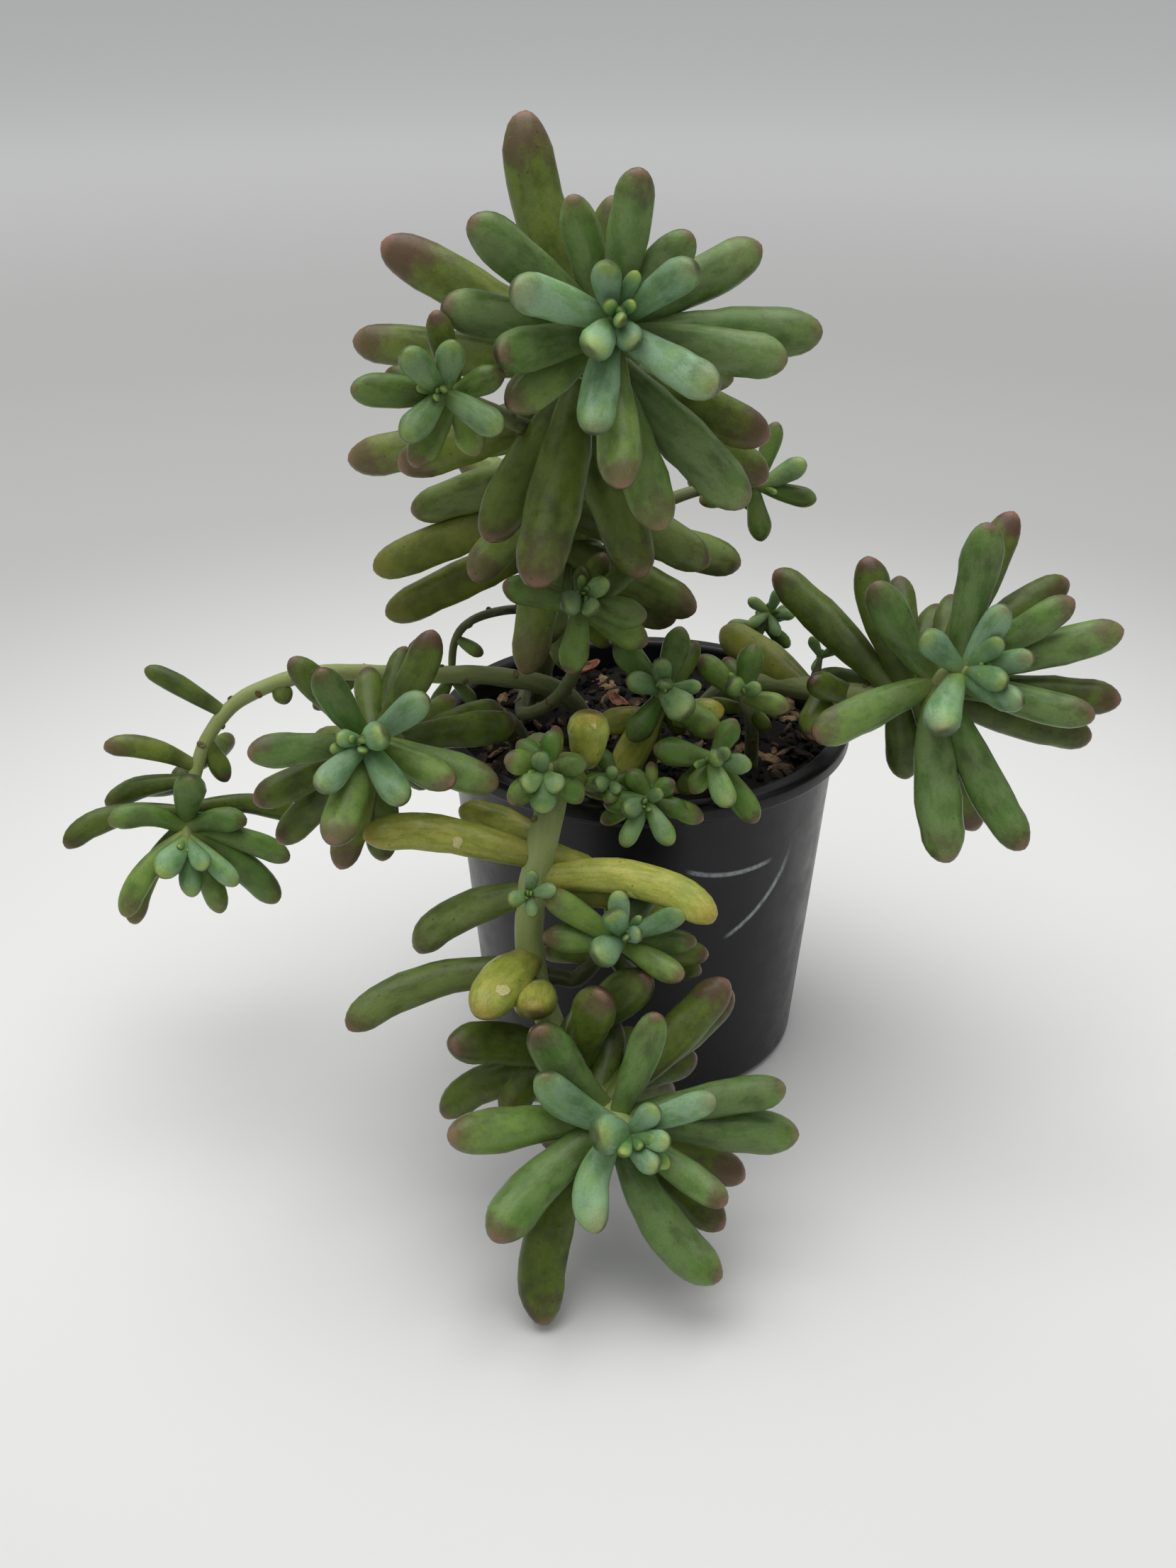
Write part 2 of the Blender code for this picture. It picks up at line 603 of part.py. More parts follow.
def material(name, colour, roughness, metallic=0.0):
    made = bpy.data.materials.new(name)
    made.use_nodes = True
    shader = made.node_tree.nodes["Principled BSDF"]
    shader.inputs["Base Color"].default_value = (*colour, 1.0)
    shader.inputs["Roughness"].default_value = roughness
    shader.inputs["Metallic"].default_value = metallic
    made.diffuse_color = (*colour, 1.0)
    return made


def add_object(name, mesh, collection=None):
    made = bpy.data.objects.new(name, mesh)
    (collection or bpy.context.scene.collection).objects.link(made)
    return made


def tube_mesh(name, rings):
    """A closed tube through rings of points, with a pole at each end that is a single point."""
    bm = bmesh.new()
    loops = [[bm.verts.new(p * MM) for p in ring] for ring in rings]
    for lower, upper in zip(loops, loops[1:]):
        if len(lower) == 1:
            faces = [(lower[0], upper[(i + 1) % len(upper)], upper[i]) for i in range(len(upper))]
        elif len(upper) == 1:
            faces = [(lower[i], lower[(i + 1) % len(lower)], upper[0]) for i in range(len(lower))]
        else:
            pairs = zip(range(len(lower)), [*range(1, len(lower)), 0])
            faces = [(lower[i], lower[j], upper[j], upper[i]) for i, j in pairs]
        for corners in faces:
            bm.faces.new(corners)
    bmesh.ops.recalc_face_normals(bm, faces=bm.faces)
    mesh = bpy.data.meshes.new(name)
    bm.to_mesh(mesh)
    bm.free()
    return mesh


def ring(centre, across, over, half_width, half_height, sides):
    turns = [2 * math.pi * i / sides for i in range(sides)]
    return [centre + across * half_width * math.cos(a) + over * half_height * math.sin(a) for a in turns]


def leaf_mesh(root, leaf, face):
    tip = leaf_tip(leaf)
    if leaf.length > LARGE_LEAF:
        sides, shares = 6, [0.0, 0.54, 1 - 0.45 * tip]
    elif leaf.length > SMALL_LEAF:
        sides, shares = 5, [0.0, 0.5, 1 - 0.5 * tip]
    else:
        sides, shares = 4, [0.0, 1 - 0.6 * tip]
    stations = leaf_stations(root, leaf, face, [*shares, 1.0])
    rings = [[stations[0][0] - (stations[1][0] - stations[0][0]).normalized() * SUNK_ROOT]]
    for t, (centre, side, over) in zip(shares, stations):
        half = leaf_half_width(leaf, t)
        rings.append(ring(centre, side, over, half, half * LEAF_FLATNESS, sides))
    rings.append([stations[-1][0]])
    return tube_mesh("leaf", rings)


def stem_mesh(s):
    line = smooth_path(s.stem, step=STEM_STEP)
    sides = 7 if s.thick[0] > 3 else 6
    rings = [[line[0]]]
    across = Vector((1, 0, 0))
    for i, point in enumerate(line):
        along = (line[min(i + 1, len(line) - 1)] - line[max(i - 1, 0)]).normalized()
        across = (across - along * across.dot(along)).normalized()
        radius = s.thick[0] + (s.thick[1] - s.thick[0]) * i / (len(line) - 1)
        rings.append(ring(point, across, along.cross(across), radius, radius, sides))
    tip = line[-1] + (line[-1] - line[-2]).normalized() * s.thick[1]
    rings.append([tip])
    return tube_mesh("stem", rings)


def folds(kept, moved):
    """Whether a face would turn over if one vertex slid onto its neighbour."""
    for face in moved.link_faces:
        if kept in face.verts:
            continue
        before = [v.co for v in face.verts]
        after = [kept.co if v is moved else v.co for v in face.verts]
        if face_normal(after).dot(face_normal(before)) < 0.5:
            return True
    return False


def face_normal(corners):
    a, b, c = corners
    return (b - a).cross(c - a).normalized()


def drop_short_edges(mesh):
    """The seams of a union hold edges too short to matter: their two ends become one."""
    bm = bmesh.new()
    bm.from_mesh(mesh)
    bmesh.ops.triangulate(bm, faces=bm.faces)
    edges = [e for e in bm.edges if e.calc_length() < SHORT_EDGE * MM]
    for edge in sorted(edges, key=lambda e: e.calc_length()):
        if not edge.is_valid or edge.calc_length() > SHORT_EDGE * MM:
            continue
        for kept, moved in (edge.verts, tuple(edge.verts)[::-1]):
            around = [{e.other_vert(v) for e in v.link_edges} for v in (kept, moved)]
            if len(around[0] & around[1]) == 2 and not folds(kept, moved):
                bmesh.ops.weld_verts(bm, targetmap={moved: kept})
                break
    bm.to_mesh(mesh)
    bm.free()


def join_by_union(name, meshes):
    """One object: the first mesh with the others joined to it. The MANIFOLD solver is the one that joins
    so many crossing leaves without leaving an edge open."""
    made = add_object(name, meshes[0])
    parts = bpy.data.collections.new(name + "_parts")
    bpy.context.scene.collection.children.link(parts)
    pieces = [add_object(f"{name}_{i}", mesh, parts) for i, mesh in enumerate(meshes[1:])]
    union = made.modifiers.new("union", "BOOLEAN")
    union.operation = "UNION"
    union.operand_type = "COLLECTION"
    union.collection = parts
    union.solver = "MANIFOLD"
    bpy.context.view_layer.update()
    joined = bpy.data.meshes.new_from_object(made.evaluated_get(bpy.context.evaluated_depsgraph_get()))
    made.modifiers.clear()
    made.data = joined
    drop_short_edges(joined)
    for piece in pieces:
        bpy.data.objects.remove(piece)
    bpy.data.collections.remove(parts)
    return made


def build_plants():
    """Each plant is one solid: its stems and leaves, joined."""
    by_node = {}
    for s in SHOOTS:
        by_node.setdefault(s.node, []).append(stem_mesh(s))
    for s, root, leaf, _ in grow(SHOOTS):
        by_node[s.node].append(leaf_mesh(root, leaf, s.face))
    for node, meshes in by_node.items():
        plant = join_by_union(node, meshes)
        plant.data.materials.clear()
        plant.data.materials.append(material(node + "_green", (0.12, 0.22, 0.10), 0.5))


def turned_mesh(name, profile, sides):
    """A closed solid turned from a profile of (radius, height) that starts and ends on the axis."""
    rings = []
    for radius, height in profile:
        if radius == 0:
            rings.append([Vector((0, 0, height))])
        else:
            rings.append(level_ring(Vector((0, 0, height)), radius, sides))
    return tube_mesh(name, rings)


def wall_radius(height):
    """The pot's outer radius at a height, below the rim."""
    return POT_FOOT_RADIUS + (POT_TOP_RADIUS - POT_FOOT_RADIUS) * height / (POT_HEIGHT - RIM_HEIGHT)


def pot_profile():
    under_rim = POT_HEIGHT - RIM_HEIGHT
    return [
        (0, 0), (POT_FOOT_RADIUS - 1.5, 0), (POT_FOOT_RADIUS, 1.5), (POT_TOP_RADIUS, under_rim),
        (RIM_RADIUS, under_rim + 0.4), (RIM_RADIUS, POT_HEIGHT - 0.8), (RIM_RADIUS - 0.8, POT_HEIGHT),
        (POT_TOP_RADIUS - POT_WALL + 0.6, POT_HEIGHT), (POT_TOP_RADIUS - POT_WALL, POT_HEIGHT - 0.8),
        (wall_radius(FLOOR_THICKNESS) - POT_WALL, FLOOR_THICKNESS), (0, FLOOR_THICKNESS),
    ]


def cut(target, cutter_mesh, name):
    """Takes the cutter's shape out of an object."""
    cutter = add_object(name, cutter_mesh)
    cutter.hide_render = True
    cutter.display_type = "WIRE"
    difference = target.modifiers.new(name, "BOOLEAN")
    difference.operation = "DIFFERENCE"
    difference.object = cutter
    difference.solver = "MANIFOLD"


def level_ring(centre, radius, sides):
    return ring(centre, Vector((1, 0, 0)), Vector((0, 1, 0)), radius, radius, sides)


def upright_cylinder(centre, radius, bottom, top, sides):
    base, lid = Vector((*centre, bottom)), Vector((*centre, top))
    rings = [[base], level_ring(base, radius, sides), level_ring(lid, radius, sides), [lid]]
    return tube_mesh("cylinder", rings)


def build_pot(black_plastic):
    pot = add_object("pot", turned_mesh("pot", pot_profile(), POT_SIDES))
    pot.data.materials.append(black_plastic)
    for i in range(DRAIN_HOLES):
        turn = 2 * math.pi * i / DRAIN_HOLES
        centre = (DRAIN_CIRCLE * math.cos(turn), DRAIN_CIRCLE * math.sin(turn))
        cut(pot, upright_cylinder(centre, DRAIN_RADIUS, -2, FLOOR_THICKNESS + 2, 10), f"drain_cutter_{i}")
    pot.data.shade_smooth()
    pot.data.set_sharp_from_angle(angle=math.radians(35))


def soil_height(x, y):
    """The lumpy top of the potting mix."""
    lumps = math.sin(0.33 * x + 1.1) * math.cos(0.41 * y - 0.4)
    lumps += 0.6 * math.sin(0.71 * x - 0.53 * y) + 0.4 * math.cos(0.9 * y + 0.8 * x)
    return SOIL_TOP + SOIL_LUMP * lumps / 2


def build_soil(dark_soil):
    bottom = FLOOR_THICKNESS + GAP
    inside = POT_WALL + GAP
    edge = wall_radius(SOIL_TOP - 2) - inside
    low = wall_radius(bottom) - inside - 0.05
    rings = [[Vector((0, 0, bottom))], level_ring(Vector((0, 0, bottom)), low, POT_SIDES)]
    rings.append(level_ring(Vector((0, 0, SOIL_TOP - 2)), edge, POT_SIDES))
    for i in range(SOIL_RINGS, 0, -1):
        radius = (edge - 0.3) * i / SOIL_RINGS
        flat = level_ring(Vector((0, 0, 0)), radius, POT_SIDES)
        rings.append([Vector((p.x, p.y, soil_height(p.x, p.y))) for p in flat])
    rings.append([Vector((0, 0, soil_height(0, 0)))])
    soil = add_object("soil", tube_mesh("soil", rings))
    soil.data.materials.append(dark_soil)
    for s in SHOOTS:
        foot = s.stem[0]
        if foot.z < SOIL_TOP:
            hole = upright_cylinder(foot.xy, s.thick[0] + 0.7, SOIL_TOP - STEM_HOLE_DEPTH, SOIL_TOP + 6, 8)
            cut(soil, hole, f"stem_hole_cutter_{s.node}")


def main():
    for old in list(bpy.data.objects):
        bpy.data.objects.remove(old)
    build_pot(material("black_plastic", (0.012, 0.012, 0.014), 0.42))
    build_soil(material("potting_mix", (0.03, 0.02, 0.013), 0.95))
    build_plants()


main()
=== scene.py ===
"""A sedum with finger-like leaves in a black plastic nursery pot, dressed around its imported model.

The pot stands on the floor with its axis on +Z and the middle of its foot at the origin; -Y is the front.
Every table below is in millimetres and degrees, and the meshes are made in metres.
"""

import math
from collections import namedtuple
from functools import partial

import bmesh
import bpy
import numpy as np
from mathutils import Matrix, Vector, noise


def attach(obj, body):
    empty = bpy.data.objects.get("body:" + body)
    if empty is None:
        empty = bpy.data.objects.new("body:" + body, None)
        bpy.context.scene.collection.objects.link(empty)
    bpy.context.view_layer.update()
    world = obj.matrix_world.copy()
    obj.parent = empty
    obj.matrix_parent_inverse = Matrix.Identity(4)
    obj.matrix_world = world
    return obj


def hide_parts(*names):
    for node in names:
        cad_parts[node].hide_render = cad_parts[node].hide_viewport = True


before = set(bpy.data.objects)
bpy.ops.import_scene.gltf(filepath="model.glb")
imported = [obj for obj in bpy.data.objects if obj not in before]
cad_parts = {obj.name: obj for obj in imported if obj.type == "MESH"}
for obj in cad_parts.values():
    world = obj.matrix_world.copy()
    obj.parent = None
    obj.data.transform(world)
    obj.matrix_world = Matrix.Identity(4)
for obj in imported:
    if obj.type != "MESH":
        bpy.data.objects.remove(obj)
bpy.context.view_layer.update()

MM = 0.001
GOLDEN_ANGLE = 137.5
SEED = 7

# Noise vectors take their start from the clock unless they are given one.
noise.seed_set(SEED)

# Pot, as in the model: a turned cup with a rolled rim and drain holes round its floor.
POT_HEIGHT = 78.0
POT_FOOT_RADIUS = 35.5
POT_TOP_RADIUS = 42.0
RIM_RADIUS = 45.0
RIM_HEIGHT = 4.0
POT_WALL = 1.2
FLOOR_THICKNESS = 1.6
POT_SIDES = 128
DRAIN_HOLES = 6
DRAIN_RADIUS = 4.0
DRAIN_CIRCLE = 26.0

# Potting mix: how high it lies, its lumps and crumbs, and the loose crumbs and chips that lie on it: how
# many, their least and most size, their shape and their tilt in radians. They keep clear of the stems.
SOIL_TOP = 71.0
SOIL_LUMP = 1.2
SOIL_RINGS = 34
SOIL_SIDES = 96
CRUMB_RISE = 0.9
CRUMB_SIZE = 2.2
CRUMBS = 900
CRUMB_SIZES = (0.4, 1.1)
CRUMB_SHAPE = (1.2, 1.0, 0.8)
CRUMB_TILT = 1.0
CHIPS = 260
CHIP_SIZES = (0.7, 1.6)
CHIP_SHAPE = (2.3, 1.1, 0.5)
CHIP_TILT = 0.35
STEM_CLEARING = 4.5

# Leaf proportions. The plumper leaves, low on a shoot, are fuller at the root and widest nearer to it.
LEAF_FLATNESS = 0.82  # thickness over width
UPPER_FLATNESS = 0.86
SQUARENESS = 2.15  # of a section and of the tip, where 2 is an ellipse
FULLNESS = 0.95  # of the tabled width
SHORT_FULLNESS = 0.12  # how much fuller the very shortest leaves are
SHORT_LEAF = 20.0
ROOT_SHARE = 0.44
PLUMP_ROOT_SHARE = 0.18  # more of it on the plumpest leaves
FULL_AT = 0.72
PLUMP_FULL_SOONER = 0.2
SWELL_POWER = 1.4  # how quickly a leaf widens from its root
TIP_TAPER = 0.12
TAPER_POWER = 1.5
TIP_IN_WIDTHS = 0.72  # the length over which the tip rounds off
LONGEST_TIP = 0.45
PLUMP_AT = 40.0  # leaves this far behind the tip are the plumpest
SUNK_ROOT = 0.6
LARGE_LEAF = 21.0
SMALL_LEAF = 8.0
TIP_POINT = 0.1
LEAF_LUMP = 0.03
LUMP_SIZE = 5.0

# Leaves that fill the hidden side of a shoot: how far behind its tip they start, and how far they lean
# back, with the golden share by which their lean differs.
HIDDEN_FROM = 4
HIDDEN_LEAN = 30
HIDDEN_LEAN_MORE = 25
GOLDEN_SHARE = 0.618

# Bud leaves: how far the first leans out of the tip, how much more each next one does, and how
# much longer and wider each is, in tip radii.
BUD_LEAN = 12
BUD_LEAN_MORE = 7
BUD_GROWTH = 0.5
BUD_WIDENING = 0.1

# A leaf springs from the stem `back` mm behind the growing tip. Its chord points the way a clock hand
# does on its shoot's clock face (0 up, 90 to the right), and `forward` degrees out of that face.
# `lift` and `sweep` are how far it bends out of the face, and round the face, from root to tip.
Leaf = namedtuple("Leaf", "back clock forward length width lift sweep", defaults=(20, 0))

AGES = ("young", "grown", "old", "faded")

# A shoot is one stem with its leaves. `stem` is its route from the root up, `thick` its radius at the
# root and at the tip, and `face` the turn and tilt of its clock face: how far the face looks to the
# right of straight ahead, and above the horizon. The leaves are listed by age. `fill` is how many more
# grow round the side that looks away, how long they are, and how far down the stem they go.
Shoot = namedtuple("Shoot", "node stem thick face young grown old faded fill bud")


def shoot(node, stem, thick, face, young=(), grown=(), old=(), faded=(), fill=(0, 20, 20), bud=5):
    """A shoot whose leaf rows have become leaves."""
    ages = [[Leaf(*row) for row in rows] for rows in (young, grown, old, faded)]
    points = [Vector(p) for p in stem]
    if points[0].z < SOIL_TOP:
        points.insert(1, points[0].lerp(points[1], 0.55))
    return Shoot(node, points, thick, face, *ages, fill, bud)


CROWN = shoot(
    "crown_stem",
    stem=(
        (-24, 20, 59), (-24, 20, 76), (-21, 12, 94), (-18, 4, 111), (-18, -6, 129), (-16, -18, 148),
        (-12, -32, 163), (-7, -50, 176),
    ),
    thick=(3.6, 2.4),
    face=(-1, 13),
    young=(
        (3, 219, 68, 14, 6.5), (4, 190, 40, 23, 7.4, 25), (3, 289, 38, 22, 7.8, 30),
        (3, 56, 40, 21, 6.6, 45), (2, 355, 45, 13, 5.2, 40, 30), (2, 137, 55, 9, 5.2),
        (4, 119, 35, 25, 7.4, 25, -15),
    ),
    grown=(
        (6, 11, 20, 28, 7.8), (8, 345, 10, 24, 7.2), (7, 41, 12, 22, 8.0), (8, 61, -5, 31, 8.4),
        (9, 89, 5, 38, 9.4), (8, 98, 20, 33, 8.4), (9, 109, 0, 24, 7.4), (7, 174, 25, 29, 8.4),
        (8, 309, 18, 31, 8.8), (10, 280, 20, 30, 8.6, 40), (8, 259, 40, 24, 8.2, 45),
        (10, 234, 22, 22, 8.2, 40), (14, 160, 14, 35, 9.0), (16, 135, 8, 39, 10.0),
    ),
    old=(
        (14, 6, -5, 26, 7.5), (15, 343, -5, 43, 9.8, 15, 30), (20, 298, -2, 43, 9.6),
        (24, 276, -5, 44, 8.6), (22, 112, 0, 36, 9.0), (26, 120, -14, 42, 8.8), (28, 211, 10, 35, 10.4),
        (26, 193, 24, 42, 11.0), (36, 158, 5, 36, 10.4), (36, 249, 0, 36, 9.0), (44, 260, -12, 46, 9.0),
        (56, 251, -18, 35, 8.6), (58, 220, 25, 29, 8.4), (62, 190, 10, 39, 8.8), (60, 120, 0, 35, 9.4),
        (70, 108, -15, 42, 9.0), (80, 116, 5, 32, 9.0), (90, 110, 12, 27, 8.6), (84, 190, 28, 20, 8.8),
        (94, 172, 12, 18, 7.2),
    ),
    faded=((66, 248, -5, 42, 8.8), (78, 245, -2, 41, 8.6)),
    fill=(11, 30, 74),
)

UPPER_LEFT = shoot(
    "crown_stem",
    stem=((-16, -16, 144), (-24, -30, 151), (-31, -45, 159), (-37, -58, 165)),
    thick=(1.6, 1.3),
    face=(5, 15),
    young=((1, 318, 40, 12, 5.4), (1, 14, 30, 10, 5.0), (1, 222, 32, 12, 5.4), (1, 124, 28, 13, 5.4)),
    grown=((3, 274, 15, 17, 6.2), (5, 213, 5, 14, 5.6), (5, 160, -5, 11, 5.2), (4, 68, 10, 10, 5.0)),
    old=((6, 348, 8, 15, 4.8), (7, 290, -15, 14, 5.0)),
    fill=(3, 13, 10),
)

BACK_RIGHT = shoot(
    "crown_stem",
    stem=((-17, 3, 113), (-4, 10, 119), (12, 15, 124), (26, 12, 126)),
    thick=(1.6, 1.2),
    face=(-6, 18),
    young=((1, 60, 20, 11, 4.8), (1, 300, 30, 8, 4.2)),
    grown=((2, 102, 0, 13, 4.6), (3, 168, 0, 12, 5.0), (2, 15, 0, 14, 4.4), (4, 250, 10, 11, 4.6)),
    fill=(3, 11, 10),
)

UNDER_CROWN = shoot(
    "crown_stem",
    stem=(
        (-23, 17, 82), (-26, 8, 79), (-26, -2, 79), (-20, -8, 84), (-15, -15, 94), (-14, -23, 104),
        (-13, -35, 119),
    ),
    thick=(1.6, 1.3),
    face=(0, 21),
    young=((1, 256, 66, 8, 5.0), (1, 135, 66, 7, 4.0), (1, 52, 30, 7, 4.0)),
    grown=((2, 104, 14, 13, 6.2), (3, 190, 15, 14, 5.8), (4, 286, 8, 16, 6.2), (5, 118, -12, 15, 6.2)),
    old=((6, 48, -8, 17, 5.2), (8, 20, -15, 14, 5.0)),
    fill=(2, 12, 10),
)

CROWN_ARCH = shoot(
    "crown_stem",
    stem=((-21, 12, 97), (-29, 6, 100), (-37, 5, 98), (-41, 5, 93), (-42, 4, 84)),
    thick=(1.1, 0.8),
    face=(0, 20),
    grown=((10, 122, 10, 7, 3.0), (1, 210, 10, 8, 3.4), (1, 140, 0, 8, 3.2)),
    bud=0,
)

RIGHT = shoot(
    "right_stem",
    stem=(
        (14, 6, 59), (14, 6, 75), (20, 3, 83), (30, -2, 86), (40, -11, 88), (52, -20, 92),
        (64, -30, 102),
    ),
    thick=(3.4, 1.9),
    face=(-12, 23),
    young=(
        (1, 106, 50, 12, 5.0), (2, 28, 30, 17, 6.0, 35), (2, 74, 24, 15, 4.8, 45),
        (2, 306, 42, 14, 6.2, 40), (3, 108, 38, 17, 5.6, 40, -35), (3, 186, 50, 18, 8.0, 50, -40),
        (1, 44, 38, 11, 4.2),
    ),
    grown=(
        (4, 7, 15, 31, 8.6), (5, 53, 4, 28, 6.8), (6, 70, -6, 36, 7.8), (6, 100, 10, 30, 7.2, 20, -12),
        (8, 148, 8, 38, 8.6, 10, -15), (9, 170, 12, 37, 10.0, 10, -18), (9, 241, 26, 29, 8.6),
        (9, 325, 22, 25, 8.2, 20, 22),
    ),
    old=(
        (9, 19, -8, 38, 7.6), (12, 49, -18, 38, 7.6, 10, 18), (11, 90, -8, 39, 8.0),
        (13, 102, -26, 41, 8.2, 10, -10), (14, 153, -24, 36, 8.0), (16, 338, 0, 29, 8.2, 15, 18),
        (17, 351, -25, 27, 7.0), (19, 310, -8, 37, 8.4), (18, 18, -36, 25, 7.6),
        (19, 170, -28, 21, 8.0), (30, 290, 40, 11, 6.2, 40, 35), (37, 186, 4, 12, 7.4),
    ),
    faded=((42, 299, -22, 25, 9.0),),
    fill=(5, 26, 34),
)

RIGHT_OFFSET = shoot(
    "right_stem",
    stem=((36, -6, 87), (38, -1, 92)),
    thick=(1.1, 0.9),
    face=(-6, 24),
    young=((0, 330, 20, 5, 2.4), (0, 60, 20, 5, 2.4), (0, 200, 20, 4, 2.2)),
)

FRONT = shoot(
    "front_stem",
    stem=(
        (-23, -22, 59), (-23, -22, 76), (-22, -32, 85), (-20, -43, 89), (-19, -53, 85), (-21, -60, 77),
        (-23, -63, 66), (-23, -65, 56), (-20, -69, 46), (-15, -76, 39), (-9, -84, 35), (-4, -93, 35),
    ),
    thick=(3.4, 2.5),
    face=(-2, 38),
    young=(
        (2, 260, 68, 12, 7.8), (1, 46, 45, 10, 4.6), (1, 100, 42, 10, 4.2),
        (2, 134, 38, 11, 4.6, 40, -40), (3, 71, 28, 20, 5.6), (4, 306, 34, 21, 7.4, 35, 60),
        (4, 186, 24, 22, 7.2, 30, -80),
    ),
    grown=(
        (5, 125, 10, 25, 6.4), (6, 93, -6, 35, 8.6), (7, 79, 6, 33, 7.4), (7, 143, 4, 36, 9.0, 10, -45),
        (6, 21, 24, 23, 7.0), (7, 222, 22, 33, 9.4, 15, -25), (8, 261, 22, 32, 8.6),
        (9, 321, 34, 24, 8.6, 40, 25),
    ),
    old=(
        (10, 43, 0, 34, 8.2), (12, 49, -18, 36, 8.2), (10, 115, -20, 32, 8.2), (11, 134, -14, 33, 8.0),
        (9, 194, -4, 42, 9.4, 6, -50), (15, 70, -28, 25, 7.6), (14, 84, -34, 25, 7.8),
        (13, 10, -18, 17, 7.2), (20, 22, 48, 22, 9.0, 20, 20), (26, 55, 28, 24, 9.0, 30, 15),
        (22, 272, 30, 26, 8.8, 30, -45), (20, 248, -12, 29, 7.6, 0, -60), (30, 205, 0, 20, 7.6),
        (57, 242, -16, 27, 7.8, 0, -60), (42, 248, 8, 38, 7.6, 0, -46),
    ),
    faded=(
        (64, 274, 8, 34, 7.6, 0, -34), (68, 292, -22, 20, 7.0), (60, 106, 12, 37, 7.6, 0, 60),
        (66, 114, -32, 20, 7.0), (58, 96, -14, 27, 7.2, 0, 20), (44, 212, 48, 23, 9.4, -20, -20),
        (38, 176, 62, 18, 8.6, 0),
    ),
    fill=(5, 26, 26),
)

FRONT_SIDE = shoot(
    "front_stem",
    stem=((-22, -65, 52), (-14, -64, 51), (-9, -66, 58), (-5, -72, 66)),
    thick=(1.8, 1.4),
    face=(-1, 32),
    young=(
        (1, 333, 60, 9, 5.0), (1, 82, 60, 6, 3.4), (2, 355, 30, 10, 4.2), (2, 68, 20, 14, 4.4),
        (2, 232, 60, 11, 6.0),
    ),
    grown=(
        (4, 303, 18, 17, 5.6), (4, 20, 0, 16, 5.8), (5, 274, 5, 14, 5.6), (4, 119, 22, 15, 5.2),
        (4, 90, 0, 15, 4.6),
    ),
    old=((6, 96, -14, 19, 5.6), (7, 106, -24, 20, 5.4)),
    fill=(3, 15, 14),
)

FRONT_OFFSET = shoot(
    "front_stem",
    stem=((-23, -63, 71), (-23, -69, 73)),
    thick=(1.1, 1.0),
    face=(0, 30),
    young=((0, 250, 40, 5, 3.2), (0, 80, 30, 6, 3.0), (0, 10, 30, 5, 2.8), (0, 170, 30, 5, 2.6)),
)

NEAR_LEFT = shoot(
    "near_left_stem",
    stem=(
        (-27, -8, 59), (-27, -8, 76), (-32, -14, 84), (-39, -26, 88), (-46, -37, 90), (-51, -47, 94),
        (-54, -58, 99),
    ),
    thick=(2.6, 1.9),
    face=(8, 26),
    young=(
        (1, 66, 72, 11, 5.6), (1, 285, 45, 7, 3.6), (2, 229, 42, 16, 5.6), (2, 152, 36, 16, 6.4),
        (2, 57, 36, 17, 6.0),
    ),
    grown=(
        (4, 331, 26, 18, 6.8, 20, 25), (4, 268, 14, 23, 6.8), (5, 205, 30, 23, 7.8),
        (5, 120, 26, 19, 6.8), (7, 113, 8, 25, 7.4),
    ),
    old=(
        (6, 319, 4, 22, 6.4), (8, 247, -5, 26, 6.8), (9, 228, -18, 29, 6.8), (9, 200, -16, 27, 6.8),
        (10, 182, -20, 25, 7.0), (8, 30, 8, 24, 7.0, 10, -18), (9, 20, -14, 20, 5.6),
        (16, 85, -25, 28, 7.4), (20, 76, -44, 31, 7.0), (15, 22, -28, 25, 6.0),
    ),
    fill=(4, 22, 24),
)

FAR_LEFT = shoot(
    "far_left_stem",
    stem=(
        (-13, 2, 59), (-13, 2, 76), (-19, 2, 83), (-32, 2, 86), (-44, 1, 87), (-56, -1, 88),
        (-68, -5, 90), (-78, -8, 89), (-87, -10, 85), (-93, -13, 78), (-96, -17, 70), (-97, -22, 64),
        (-96, -28, 61),
    ),
    thick=(2.4, 1.3),
    face=(14, 28),
    young=((1, 223, 34, 11, 6.0), (1, 154, 38, 9, 4.2), (2, 181, 10, 13, 5.0), (2, 141, 12, 15, 4.6)),
    grown=(
        (3, 220, 5, 22, 5.6, 0, -45), (3, 164, -10, 19, 5.4, 0, 15), (4, 277, 14, 17, 5.4, 0, -75),
        (4, 94, 10, 13, 5.6, 0, 55), (4, 115, -6, 23, 5.6, 0, 32), (4, 137, -14, 26, 6.8, 0, 28),
        (6, 12, 52, 14, 7.0, 30),
    ),
    old=(
        (6, 211, -16, 26, 5.4, 0, -45), (8, 258, 0, 27, 5.6, 0, -62), (9, 104, -12, 26, 5.0, 0, 45),
        (18, 286, 5, 20, 5.2, 0, -45), (15, 258, -15, 20, 5.2, 0, -45), (24, 160, -10, 10, 4.4),
        (31, 305, 0, 19, 4.6, 0, -12), (44, 160, 0, 5, 4.2), (62, 238, -20, 13, 4.2),
    ),
    fill=(4, 18, 20),
)

